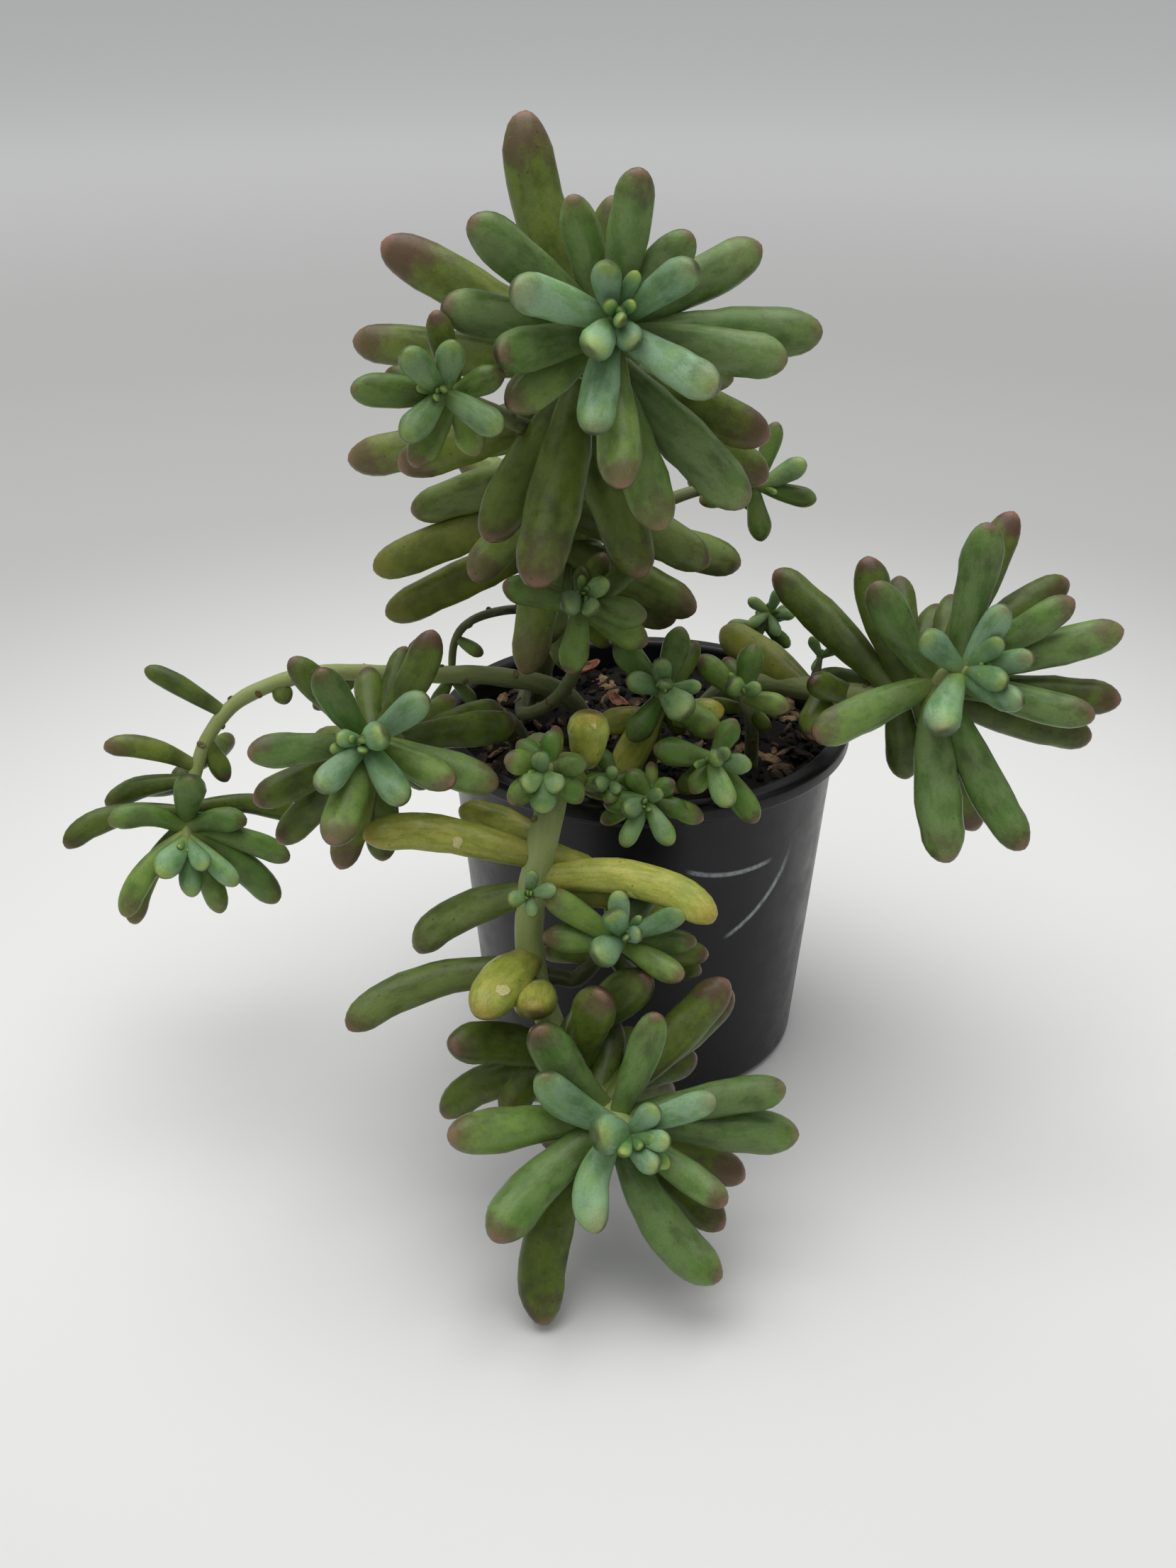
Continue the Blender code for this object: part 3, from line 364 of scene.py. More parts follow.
MIDDLE_SPRIG = shoot(
    "middle_sprig",
    stem=((1, -17, 59), (1, -17, 76), (2, -24, 88), (3, -33, 99)),
    thick=(1.9, 1.4),
    face=(-2, 24),
    young=(
        (1, 354, 50, 9, 4.0), (1, 286, 35, 9, 4.6), (1, 135, 60, 12, 6.4), (1, 83, 20, 8, 3.0),
        (1, 16, 60, 6, 3.2),
    ),
    grown=((3, 318, 8, 14, 5.8), (3, 15, 2, 14, 5.6), (4, 122, 8, 14, 6.2), (4, 215, 10, 11, 5.4)),
    old=((6, 31, -20, 15, 5.0),),
    faded=((5, 207, -12, 19, 7.4), (12, 258, 14, 13, 5.6), (14, 82, 5, 14, 6.2)),
    fill=(2, 12, 10),
)

LEFT_RIM_SPRIG = shoot(
    "left_rim_sprig",
    stem=(
        (-10, -32, 59), (-10, -32, 76), (-11, -39, 84), (-13, -48, 90), (-17, -55, 94), (-21, -60, 93),
    ),
    thick=(1.6, 1.3),
    face=(2, 27),
    young=((1, 348, 50, 6, 3.8), (1, 236, 52, 7, 4.0), (1, 132, 45, 6, 4.2), (2, 187, 28, 9, 5.2)),
    grown=(
        (3, 281, 18, 9, 5.0), (3, 309, -5, 8, 4.4), (3, 3, 5, 7, 4.0), (3, 85, 10, 7, 4.6),
        (4, 230, 5, 11, 5.0), (4, 145, -5, 9, 4.8),
    ),
    faded=((18, 4, 50, 14, 8.6, 20),),
    fill=(2, 10, 8),
)

RIM_SPRIG = shoot(
    "rim_sprig",
    stem=((4, -33, 59), (4, -33, 76), (2, -42, 82), (-1, -52, 83)),
    thick=(1.5, 1.2),
    face=(0, 27),
    young=((1, 250, 50, 7, 4.2), (1, 50, 45, 5, 2.8), (1, 150, 20, 10, 4.2), (1, 208, 14, 10, 3.8)),
    grown=(
        (3, 56, 14, 6, 4.0), (3, 324, 6, 7, 4.4), (3, 262, 5, 9, 4.4), (3, 243, -15, 11, 3.6),
        (3, 112, 2, 8, 4.2), (4, 115, -15, 12, 4.2),
    ),
    old=((5, 275, 0, 14, 4.4), (6, 272, 12, 10, 3.8)),
    fill=(2, 9, 8),
)

RIM_OFFSET = shoot(
    "rim_sprig",
    stem=((3, -36, 79), (-3, -42, 84), (-8, -48, 86)),
    thick=(1.2, 1.0),
    face=(0, 27),
    young=((0, 250, 45, 5, 3.4), (0, 20, 45, 4, 2.6), (0, 140, 40, 4, 2.6)),
    grown=((2, 262, 10, 7, 4.2), (2, 320, 10, 7, 4.0), (2, 185, 10, 6, 3.6), (2, 95, 10, 5, 3.4)),
    bud=2,
)

RIGHT_RIM_SPRIG = shoot(
    "right_rim_sprig",
    stem=((15, -26, 59), (15, -26, 76), (14, -35, 84), (12, -45, 89)),
    thick=(1.6, 1.3),
    face=(-4, 26),
    young=(
        (0, 60, 80, 6, 3.8), (1, 60, 40, 5, 3.0), (1, 97, 15, 8, 4.2), (1, 155, 40, 12, 5.0, 20, -20),
    ),
    grown=((3, 279, 5, 12, 5.8), (4, 144, 2, 15, 5.6), (3, 212, 8, 8, 4.2), (4, 26, -4, 9, 4.8)),
    old=((5, 225, -12, 10, 4.6),),
    fill=(2, 10, 8),
)

RIGHT_SPRIG = shoot(
    "right_sprig",
    stem=((23, -11, 59), (23, -11, 76), (22, -16, 85), (19, -23, 94)),
    thick=(1.6, 1.3),
    face=(-5, 24),
    young=((1, 310, 66, 6, 4.4), (1, 72, 35, 5, 3.2)),
    grown=((3, 10, 2, 11, 5.4), (3, 102, 14, 10, 4.8), (4, 310, -2, 13, 5.2)),
    old=((5, 333, -25, 11, 4.6),),
    fill=(3, 12, 10),
)

BACK_SPRIG = shoot(
    "back_sprig",
    stem=((22, 20, 59), (22, 20, 76), (26, 22, 86), (29, 22, 93)),
    thick=(1.3, 1.0),
    face=(-5, 20),
    young=(
        (0, 20, 20, 6, 2.8), (0, 95, 20, 6, 2.8), (0, 160, 15, 6, 2.8), (0, 235, 20, 6, 2.8),
        (0, 300, 20, 6, 2.8),
    ),
    grown=((3, 60, -5, 8, 3.4), (3, 130, 0, 8, 3.4), (4, 270, 0, 8, 3.4)),
    fill=(3, 8, 10),
)

SHOOTS = (
    CROWN, UPPER_LEFT, BACK_RIGHT, UNDER_CROWN, CROWN_ARCH,
    FRONT, FRONT_SIDE, FRONT_OFFSET, RIGHT, RIGHT_OFFSET, NEAR_LEFT, FAR_LEFT,
    MIDDLE_SPRIG, LEFT_RIM_SPRIG, RIM_SPRIG, RIM_OFFSET, RIGHT_RIM_SPRIG, RIGHT_SPRIG, BACK_SPRIG,
)


def smooth_path(points, step=1.0):
    """Points about `step` mm apart on a Catmull-Rom curve through the given ones."""
    ends = [2 * points[0] - points[1], *points, 2 * points[-1] - points[-2]]
    line = []
    for a, b, c, d in zip(ends, ends[1:], ends[2:], ends[3:]):
        count = max(1, round((c - b).length / step))
        for i in range(count):
            t = i / count
            square, cube = 2 * a - 5 * b + 4 * c - d, 3 * b - 3 * c + d - a
            line.append(0.5 * (2 * b + (c - a) * t + square * t**2 + cube * t**3))
    return [*line, points[-1]]


def stem_point(line, back):
    """The point `back` mm behind the growing tip of a stem."""
    for tip_side, root_side in zip(line[::-1], line[-2::-1]):
        length = (tip_side - root_side).length
        if back <= length:
            return tip_side.lerp(root_side, back / length)
        back -= length
    return line[0]


def clock_face(face):
    """The right, up and outward directions of a shoot's clock face."""
    turn, tilt = (math.radians(angle) for angle in face)
    outward = Vector((math.sin(turn) * math.cos(tilt), -math.cos(turn) * math.cos(tilt), math.sin(tilt)))
    right = Vector((math.cos(turn), math.sin(turn), 0))
    return right, outward.cross(right), outward


def leaf_tip(leaf):
    """The share of the leaf's length over which its tip rounds off."""
    return min(LONGEST_TIP, TIP_IN_WIDTHS * leaf.width / leaf.length)


def leaf_half_width(leaf, t):
    """Half the leaf's width at t, from 0 at its narrow root to 1 at its blunt tip."""
    tip = leaf_tip(leaf)
    plump = min(1.0, leaf.back / PLUMP_AT)
    root = ROOT_SHARE + PLUMP_ROOT_SHARE * plump
    full_at = FULL_AT - PLUMP_FULL_SOONER * plump
    body = root + (1 - root) * (1 - (1 - min(1.0, t / full_at)) ** SWELL_POWER)
    taper = 1 - TIP_TAPER * max(0.0, (t - full_at) / (1 - full_at)) ** TAPER_POWER
    rounding = max(0.0, (t - 1 + tip) / tip)
    fullness = FULLNESS + SHORT_FULLNESS * max(0.0, 1 - leaf.length / SHORT_LEAF)
    return fullness * leaf.width / 2 * body * taper * math.sqrt(max(0.0, 1 - rounding**SQUARENESS))


def leaf_stations(root, leaf, face, shares):
    """The leaf's centre, sideways direction and upper-face direction at these shares of its length."""
    right, up, outward = clock_face(face)
    steps = 24
    centre = root.copy()
    found = []
    wanted = list(shares)
    for i in range(steps + 1):
        t = i / steps
        bend = t * t - 1 / 3
        clock = math.radians(leaf.clock + leaf.sweep * bend)
        forward = math.radians(leaf.forward + leaf.lift * bend)
        along = (right * math.sin(clock) + up * math.cos(clock)) * math.cos(forward)
        along += outward * math.sin(forward)
        side = right * math.cos(clock) - up * math.sin(clock)
        while wanted and wanted[0] <= t + 1e-6:
            here = centre + along * (wanted.pop(0) - t) * leaf.length
            found.append((here, side, side.cross(along).normalized()))
        centre = centre + along * leaf.length / steps
    return found


def leaf_balls(root, leaf, face):
    """Balls that fill the leaf, as rows of x, y, z and radius, for telling whether two leaves cross."""
    shares = [i / 10 for i in range(1, 11)]
    shares[-1] = 0.97
    centres = [centre for centre, _, _ in leaf_stations(root, leaf, face, shares)]
    return np.array([[*c, 0.93 * leaf_half_width(leaf, t)] for c, t in zip(centres, shares)])


def clearance(balls, others):
    """The least gap between two sets of balls, below 0 where they cross."""
    if not len(others):
        return math.inf
    apart = np.linalg.norm(balls[:, None, :3] - others[None, :, :3], axis=2)
    return float((apart - balls[:, None, 3] - others[None, :, 3]).min())


# A leaf that would cross another is bent clear: a little out of its clock face or into it, or round it.
NUDGES = [(0, 0)] + [
    (forward, clock)
    for clock in (0, 5, -5, 10, -10)
    for forward in (5, -5, 10, -10, 16, -16, 22, -22, 28, -28)
]
ROOM = 0.6
PRESSED = 1.0  # leaves of one plant may press into each other by this much
FREE_BALLS = 5  # the balls nearest the root may touch those of the same head


class Thicket:
    """What already grows: every node's leaves and stems, as balls."""

    def __init__(self, fixed):
        self.heads = {}
        self.nodes = {}
        self.fixed = fixed

    def room_for(self, node, head, balls):
        """How much room some new balls have left, below 0 where they cross what grows."""
        others = [b for name, rows in self.nodes.items() if name != node for b in rows]
        gap = clearance(balls, np.concatenate(others)) if others else math.inf
        siblings = [b[FREE_BALLS:] for b in self.heads.get(head, [])]
        own = clearance(balls[FREE_BALLS:], np.concatenate(siblings)) if siblings else math.inf
        near_heads = [name for name in self.heads if name != head and name[0] == node]
        cousins = [b for name in near_heads for b in self.heads[name]]
        near = clearance(balls[2:], np.concatenate(cousins)) if cousins else math.inf
        return min(gap - ROOM, own + PRESSED, near + PRESSED, self.fixed(balls) - ROOM)

    def settle(self, node, head, root, leaf, face):
        """The leaf, bent clear of what already grows, and the gap that this leaves."""
        best = None
        for forward, clock in NUDGES:
            bent = leaf._replace(forward=leaf.forward + forward, clock=leaf.clock + clock)
            gap = self.room_for(node, head, leaf_balls(root, bent, face))
            if best is None or gap > best[1]:
                best = (bent, gap)
            if gap >= 0:
                break
        return best

    def add(self, node, head, balls):
        """Takes note of a leaf that has grown."""
        self.heads.setdefault(head, []).append(balls)
        self.nodes.setdefault(node, []).append(balls)


# What is less than this below the rim, or inside the wall, is held clear of the rim itself.
NEAR_RIM = 4.0


def pot_gap(balls):
    """The least gap between some balls and the pot, its soil and the floor, below 0 where they cross."""
    reach = np.hypot(balls[:, 0], balls[:, 1])
    outer = np.where(balls[:, 2] > POT_HEIGHT - RIM_HEIGHT - NEAR_RIM, RIM_RADIUS, POT_TOP_RADIUS)
    beside = reach - outer
    over_soil = reach < POT_TOP_RADIUS - POT_WALL - NEAR_RIM
    above = balls[:, 2] - np.where(over_soil, SOIL_TOP + 1, POT_HEIGHT)
    outside = np.where((beside > 0) & (above > 0), np.hypot(beside, above), np.maximum(beside, above))
    return float(min((outside - balls[:, 3]).min(), (balls[:, 2] - balls[:, 3]).min() + ROOM))


def grow(shoots):
    """Every leaf, bent clear of the others, as (shoot, root point, leaf, age)."""
    thicket = Thicket(pot_gap)
    lines = [smooth_path(s.stem) for s in shoots]
    for s, line in zip(shoots, lines):
        root, tip = s.thick
        radii = np.linspace(root, tip, len(line))
        thicket.nodes.setdefault(s.node, []).append(np.array([[*p, r] for p, r in zip(line, radii)]))
    grown = []
    for number, (s, line) in enumerate(zip(shoots, lines)):
        head = (s.node, number)
        by_age = zip(AGES, (s.young, s.grown, s.old, s.faded))
        listed = [(leaf, age) for age, rows in by_age for leaf in rows]
        for leaf, age in listed + [(leaf, "old") for leaf in hidden_leaves(s)]:
            root = stem_point(line, leaf.back)
            bent, gap = thicket.settle(s.node, head, root, leaf, s.face)
            if gap < 0 and (leaf, age) not in listed:
                continue
            thicket.add(s.node, head, leaf_balls(root, bent, s.face))
            grown.append((s, root, bent, age))
        for leaf in bud_leaves(s, line):
            root = stem_point(line, leaf.back)
            grown.append((s, root, leaf, "bud"))
    return grown


def hidden_leaves(s):
    """Leaves round the side of a shoot that looks away, a golden angle apart down the stem."""
    count, length, reach = s.fill
    leaves = []
    for i in range(count):
        share = (i + 0.5) / count
        leaves.append(
            Leaf(
                back=HIDDEN_FROM + (reach - HIDDEN_FROM) * share,
                clock=i * GOLDEN_ANGLE % 360,
                forward=-HIDDEN_LEAN - HIDDEN_LEAN_MORE * ((i * GOLDEN_SHARE) % 1),
                length=length * (0.75 + 0.25 * share),
                width=length * (0.22 + 0.1 * (20 / (length + 20))),
                lift=20,
            )
        )
    return leaves


def bud_leaves(s, line):
    """The smallest leaves, packed round the growing tip a golden angle apart."""
    right, up, outward = clock_face(s.face)
    axis = (line[-1] - line[-4]).normalized()
    base_clock = math.degrees(math.atan2(axis.dot(right), axis.dot(up)))
    base_forward = math.degrees(math.asin(max(-1.0, min(1.0, axis.dot(outward)))))
    size = s.thick[1]
    leaves = []
    for i in range(s.bud):
        spin = math.radians(i * GOLDEN_ANGLE)
        lean = BUD_LEAN + BUD_LEAN_MORE * i
        forward = max(-85.0, min(85.0, base_forward + lean * math.cos(spin)))
        clock = base_clock + lean * math.sin(spin) / max(0.3, math.cos(math.radians(forward)))
        length, width = size * (1.9 + BUD_GROWTH * i), size * (0.88 + BUD_WIDENING * i)
        leaves.append(Leaf(0.3 * i, clock, forward, length, width, 10, 0))
    return leaves


def linear(hex_code):
    """A colour picked in sRGB, as the linear colour that the renderer wants."""
    shares = [int(hex_code[i : i + 2], 16) / 255 for i in (1, 3, 5)]
    return (*(c / 12.92 if c <= 0.04045 else ((c + 0.055) / 1.055) ** 2.4 for c in shares), 1.0)


def wire(tree, made, sockets):
    """Links or sets a node's sockets, given by name or number. A hex colour is made linear."""
    for socket, value in sockets.items():
        if isinstance(value, bpy.types.NodeSocket):
            tree.links.new(value, made.inputs[socket])
        else:
            made.inputs[socket].default_value = linear(value) if isinstance(value, str) else value


def add_node(tree, kind, sockets, out=None, **settings):
    """A shader node with its settings, and with its sockets given by name, or in a row as the editor
    shows them. It gives the output asked for, or the first that shows."""
    made = tree.nodes.new("ShaderNode" + kind)
    for key, value in settings.items():
        setattr(made, key, value)
    if not isinstance(sockets, dict):
        shown = [number for number, socket in enumerate(made.inputs) if socket.enabled]
        sockets = dict(zip(shown, sockets))
    wire(tree, made, sockets)
    return made.outputs[out] if out else next(socket for socket in made.outputs if socket.enabled)


def new_material(name, preview):
    """A material, and a function that adds a node to it."""
    made = bpy.data.materials.new(name)
    made.use_nodes = True
    made.diffuse_color = linear(preview)
    return made, partial(add_node, made.node_tree)


def finished(made, sockets):
    """The material, once its shader's own sockets are linked or set."""
    wire(made.node_tree, made.node_tree.nodes["Principled BSDF"], sockets)
    return made


# What a leaf's or stem's mesh tells its material at each point, besides where the point was unbent.
TRAITS = ("along", "upper", "age", "bloom", "blush", "lime", "fade", "chance")

# Settings of most of the nodes here. In a row, a Mix takes how much lies over, the colour under and the
# colour over. A Map Range takes a value, the ends that it runs between, and what it gives at each, or 0
# and 1. A noise takes its place, one over its size, its detail and its roughness.
COLOUR = {"data_type": "RGBA"}
SMOOTH = {"interpolation_type": "SMOOTHSTEP"}
TIMES = {"operation": "MULTIPLY"}
PLUS = {"operation": "ADD"}
MINUS = {"operation": "SUBTRACT"}


def waxy_leaf_skin():
    """Sedum leaf: smooth green skin under a pale bluish wax bloom, which hands and neighbours rub off in
    patches. The sun turns its tip brown-purple, the youngest tips are lime, and the oldest leaves yellow
    with cork scars. The wax scatters light at a glancing angle, so each leaf has a pale edge. Patterns
    are in millimetres on the unbent leaf."""
    made, add = new_material("waxy_leaf_skin", "#55703f")
    place = add("Attribute", {}, "Vector", attribute_name="unbent")
    along, upper, age, bloom, blush, lime, fade, chance = (
        add("Attribute", {}, "Fac", attribute_name=name) for name in TRAITS
    )
    blotches = add("TexNoise", [place, 1 / 5.0, 3.0, 0.6])
    lengthways = add("Mapping", {"Vector": place, "Scale": (0.4, 1.0, 1.0)})
    swirls = add("TexNoise", [lengthways, 1 / 3.2, 5.0, 0.62])
    # Skin cells are some 0.05 mm, too fine to show, so the grain is drawn at 0.4 mm.
    grain = add("TexNoise", [place, 1 / 0.4, 3.0, 0.65])

    # A leaf is past its blue-green youth by the time that it is half grown.
    ripe = add("MapRange", [age, 0.08, 0.68], **SMOOTH)
    half_grown = add("MapRange", [age, 0.15, 0.5], **SMOOTH)
    full_grown = add("MapRange", [age, 0.6, 0.9], **SMOOTH)
    patchy = add("MapRange", [blotches, 0.35, 0.7], **SMOOTH)
    flesh = add("Mix", [ripe, "#5c8632", "#4c5d14"], **COLOUR)
    deeper = add("Mix", [full_grown, "#436a1f", "#4c5d14"], **COLOUR)
    flesh = add("Mix", [half_grown, flesh, deeper], **COLOUR)
    dark = add("Mix", [ripe, "#2f5a1c", "#2c3a0a"], **COLOUR)
    flesh = add("Mix", [patchy, flesh, dark], **COLOUR)

    # The wax lies thinner where it is rubbed and toward the root.
    wax = add("Mix", [ripe, "#83a082", "#7b8b50"], **COLOUR)
    rubbed = add("MapRange", [swirls, 0.38, 0.68], **SMOOTH)
    cover = bloom
    for left in ([rubbed, 0.0, 1.0, 1.0, 0.45], [along, 0.0, 0.35, 0.45, 1.0]):
        cover = add("Math", [cover, add("MapRange", left, **SMOOTH)], **TIMES)

    # Some leaves are yellower from the sun, and each is paler at its root.
    sunny = add("MapRange", [chance, 0.45, 1.0, 0.0, 0.55], **SMOOTH)
    for limit in ([blotches, 0.3, 0.6, 1.0, 0.3], [age, 0.1, 0.5, 0.25, 1.0]):
        sunny = add("Math", [sunny, add("MapRange", limit, **SMOOTH)], **TIMES)
    yellower = add("Mix", [age, "#809a42", "#6b732c"], **COLOUR)
    rooted = add("MapRange", [along, 0.0, 0.28, 0.75, 0.0], **SMOOTH)
    tender = add("Math", [lime, add("MapRange", [along, 0.78, 1.0], **SMOOTH)], **TIMES)

    # The brown reaches down from the tip with a blotched edge, further on some leaves and on old ones.
    reach = along
    for step in (
        [blotches, 0.3, 0.7, -0.07, 0.07], [chance, 0.0, 1.0, -0.08, 0.06], [age, 0.5, 0.9, 0.0, 0.04],
    ):
        reach = add("Math", [reach, add("MapRange", step, **SMOOTH)], **PLUS)
    burnt = add("Math", [blush, add("MapRange", [reach, 0.8, 1.02], **SMOOTH)], **TIMES)
    brown = add("Mix", [chance, "#4c3829", "#5c4439"], **COLOUR)
    apex = add("Math", [blush, add("MapRange", [along, 0.95, 0.995], **SMOOTH)], **TIMES)
    apex = add("Math", [apex, 0.6], **TIMES)

    # Faded leaves are straw-coloured, with green left in streaks and a browner tip.
    lengthways = add("Mapping", {"Vector": place, "Scale": (0.18, 1.0, 1.0)})
    streaks = add("TexNoise", [lengthways, 1 / 1.1, 4.0, 0.7])
    straw = add("Mix", [patchy, "#a3a24e", "#87903e"], **COLOUR)
    lined = add("MapRange", [streaks, 0.44, 0.62, 0.0, 0.5], **SMOOTH)
    lined = add("Math", [lined, add("MapRange", [fade, 0.4, 0.9], **SMOOTH)], **TIMES)
    browned = add("MapRange", [along, 0.85, 1.0, 0.0, 0.55], **SMOOTH)
    for share, colour in ((lined, "#6d7c2a"), (browned, "#8f7436")):
        straw = add("Mix", [share, straw, colour], **COLOUR)

    # A few patches of the faded leaves have corked over. Each patch is one cell 6 mm wide.
    cells = add("TexVoronoi", [place, 1 / 6.0], "Distance")
    picked = add("SeparateColor", [cells.node.outputs["Color"]])
    ragged = add("Math", [cells, add("MapRange", [swirls, 0.3, 0.7, -0.07, 0.07], **SMOOTH)], **PLUS)
    scar = add("MapRange", [ragged, 0.19, 0.23, 0.9, 0.0], **SMOOTH)
    for limit in ([picked, 0.45, 0.46], [fade, 0.5, 0.7]):
        scar = add("Math", [scar, add("MapRange", limit, **SMOOTH)], **TIMES)
    cork = add("Mix", [grain, "#a8a062", "#cfc894"], **COLOUR)

    specks = add("TexVoronoi", [place, 1 / 3.4], "Distance")
    speck = add("Math", [add("MapRange", [specks, 0.05, 0.1, 0.5, 0.0], **SMOOTH), age], **TIMES)

    skin = flesh
    for share, colour in (
        (cover, wax), (sunny, yellower), (rooted, "#7f8f4c"), (tender, "#98ac54"), (burnt, brown),
        (apex, "#8c685a"), (fade, straw), (scar, cork), (speck, "#242a14"),
    ):
        skin = add("Mix", [share, skin, colour], **COLOUR)

    # Leaves differ a little in lightness at random. Painted light and shade: each is painted lighter on
    # its upper face and darker on its lower one, and an old one has painted shade at its root.
    tone_with_painted_light = add("MapRange", [grain, 0.25, 0.75, 0.9, 1.1], **SMOOTH)
    # The factor on `upper` is painted light: lighter where the leaf faces up, painted shade where it faces
    # down.
    for factor in ([chance, 0.0, 1.0, 0.82, 1.12], [upper, -0.85, 0.5, 0.45, 1.32]):
        tone_with_painted_light = add("Math", [tone_with_painted_light, add("MapRange", factor, **SMOOTH)], **TIMES)
    # Painted shade: an old leaf is darkened toward its root, where the leaves around it shade it.
    painted_root_shade = add("Math", [age, add("MapRange", [along, 0.0, 0.5, 0.38, 0.0], **SMOOTH)], **TIMES)
    tone_with_painted_light = add("Math", [tone_with_painted_light, add("Math", [1.0, painted_root_shade], **MINUS)], **TIMES)
    shade = add("CombineColor", [tone_with_painted_light, tone_with_painted_light, tone_with_painted_light])
    skin = add("Mix", [1.0, skin, shade], blend_type="MULTIPLY", **COLOUR)

    height = add("Math", [grain, add("Math", [scar, 3.0], **TIMES)], **PLUS)
    height = add("Math", [height, blotches], **PLUS)
    return finished(made, {
        "Base Color": skin,
        "Roughness": add("MapRange", [cover, 0.0, 1.0, 0.3, 0.46], **SMOOTH),
        "IOR": 1.42,
        "Specular IOR Level": 0.23,
        "Coat Weight": 0.22,
        "Coat Roughness": 0.24,
        "Coat IOR": 1.42,
        "Sheen Weight": 0.5,
        "Sheen Roughness": 0.13,
        "Sheen Tint": "#b4d090",
        "Subsurface Weight": 0.1,
        "Subsurface Radius": (0.9, 1.4, 0.4),
        "Subsurface Scale": 0.001,
        "Normal": add("Bump", {"Height": height, "Distance": 0.00006, "Strength": 1.0}),
    })


def stem_skin():
    """Sedum stem: dull and a little ribbed, browner and corky near the soil, pale green further up, with
    brown flecks. The dark low skin is also painted shade, where the stem runs down into the pot's mouth.
    Patterns are in millimetres on the unbent stem."""
    made, add = new_material("stem_skin", "#7f8a56")
    place = add("Attribute", {}, "Vector", attribute_name="unbent")
    along = add("Attribute", {}, "Fac", attribute_name="along")
    lengthways = add("Mapping", {"Vector": place, "Scale": (0.2, 1.0, 1.0)})
    ribs = add("TexNoise", [lengthways, 1 / 0.9, 3.0, 0.6])
    flecks = add("TexNoise", [place, 1 / 0.7, 3.0, 0.7])
    # Partly painted shade: the skin darkens toward the soil both as the corky base and as painted shade
    # inside the pot's mouth.
    green = add("MapRange", [along, 0.1, 0.6], **SMOOTH)
    skin = add("Mix", [green, "#3f4426", "#74804a"], **COLOUR)
    pale = add("MapRange", [along, 0.5, 1.0], **SMOOTH)
    ribbed = add("MapRange", [ribs, 0.4, 0.66, 0.0, 0.6], **SMOOTH)
    rib = add("Mix", [along, "#6c6c44", "#9aa270"], **COLOUR)
    flecked = add("MapRange", [flecks, 0.6, 0.72, 0.0, 0.5], **SMOOTH)
    for share, colour in ((pale, "#8f9c58"), (ribbed, rib), (flecked, "#5d4c2c")):
        skin = add("Mix", [share, skin, colour], **COLOUR)
    return finished(made, {
        "Base Color": skin,
        "Roughness": 0.6,
        "IOR": 1.42,
        "Sheen Weight": 0.25,
        "Sheen Tint": "#d4dcc4",
        "Normal": add("Bump", {"Height": ribs, "Distance": 0.00012, "Strength": 1.0}),
    })


def leaf_scar_cork():
    """Cork over the place that a leaf fell from: dry and crumbly, mottled brown to tan."""
    made, add = new_material("leaf_scar_cork", "#6e5c38")
    place = add("TexCoord", {}, "Object")
    crumbs = add("TexNoise", [place, 1 / 0.0005, 3.0, 0.7])
    paler = add("MapRange", [crumbs, 0.35, 0.65], **SMOOTH)
    return finished(made, {
        "Base Color": add("Mix", [paler, "#5a4c2a", "#857748"], **COLOUR),
        "Roughness": 0.85,
        "IOR": 1.45,
        "Normal": add("Bump", {"Height": crumbs, "Distance": 0.00015, "Strength": 1.0}),
    })


# Scuffs on the pot's wall, seen from the front: the middle and radius of each stroke's arc, how wide it
# is, and the x between which it runs.
SCUFFS = (
    ((20.8, 91.0), 32.5, 0.75, (8.4, 26.0)),
    ((5.0, 66.3), 26.5, 0.7, (17.1, 30.0)),
)


def scuff_line(add, axes, middle, radius, width, span):
    """How strongly a stroke marks each point: 1 on its arc, 0 beyond its width or its ends."""
    across = add("Math", [axes["X"], middle[0] * MM], **MINUS)
    upward = add("Math", [axes["Z"], middle[1] * MM], **MINUS)
    reach = add("CombineXYZ", {"X": across, "Y": 0.0, "Z": upward})
    reach = add("VectorMath", [reach], "Value", operation="LENGTH")
    off = add("Math", [add("Math", [reach, radius * MM], **MINUS)], operation="ABSOLUTE")
    line = add("MapRange", [off, 0.3 * width * MM, width * MM, 1.0, 0.0], **SMOOTH)
    start = add("MapRange", [axes["X"], (span[0] - 1) * MM, (span[0] + 2) * MM], **SMOOTH)
    end = add("MapRange", [axes["X"], (span[1] - 2) * MM, (span[1] + 1) * MM, 1.0, 0.0], **SMOOTH)
    return add("Math", [line, add("Math", [start, end], **TIMES)], **TIMES)


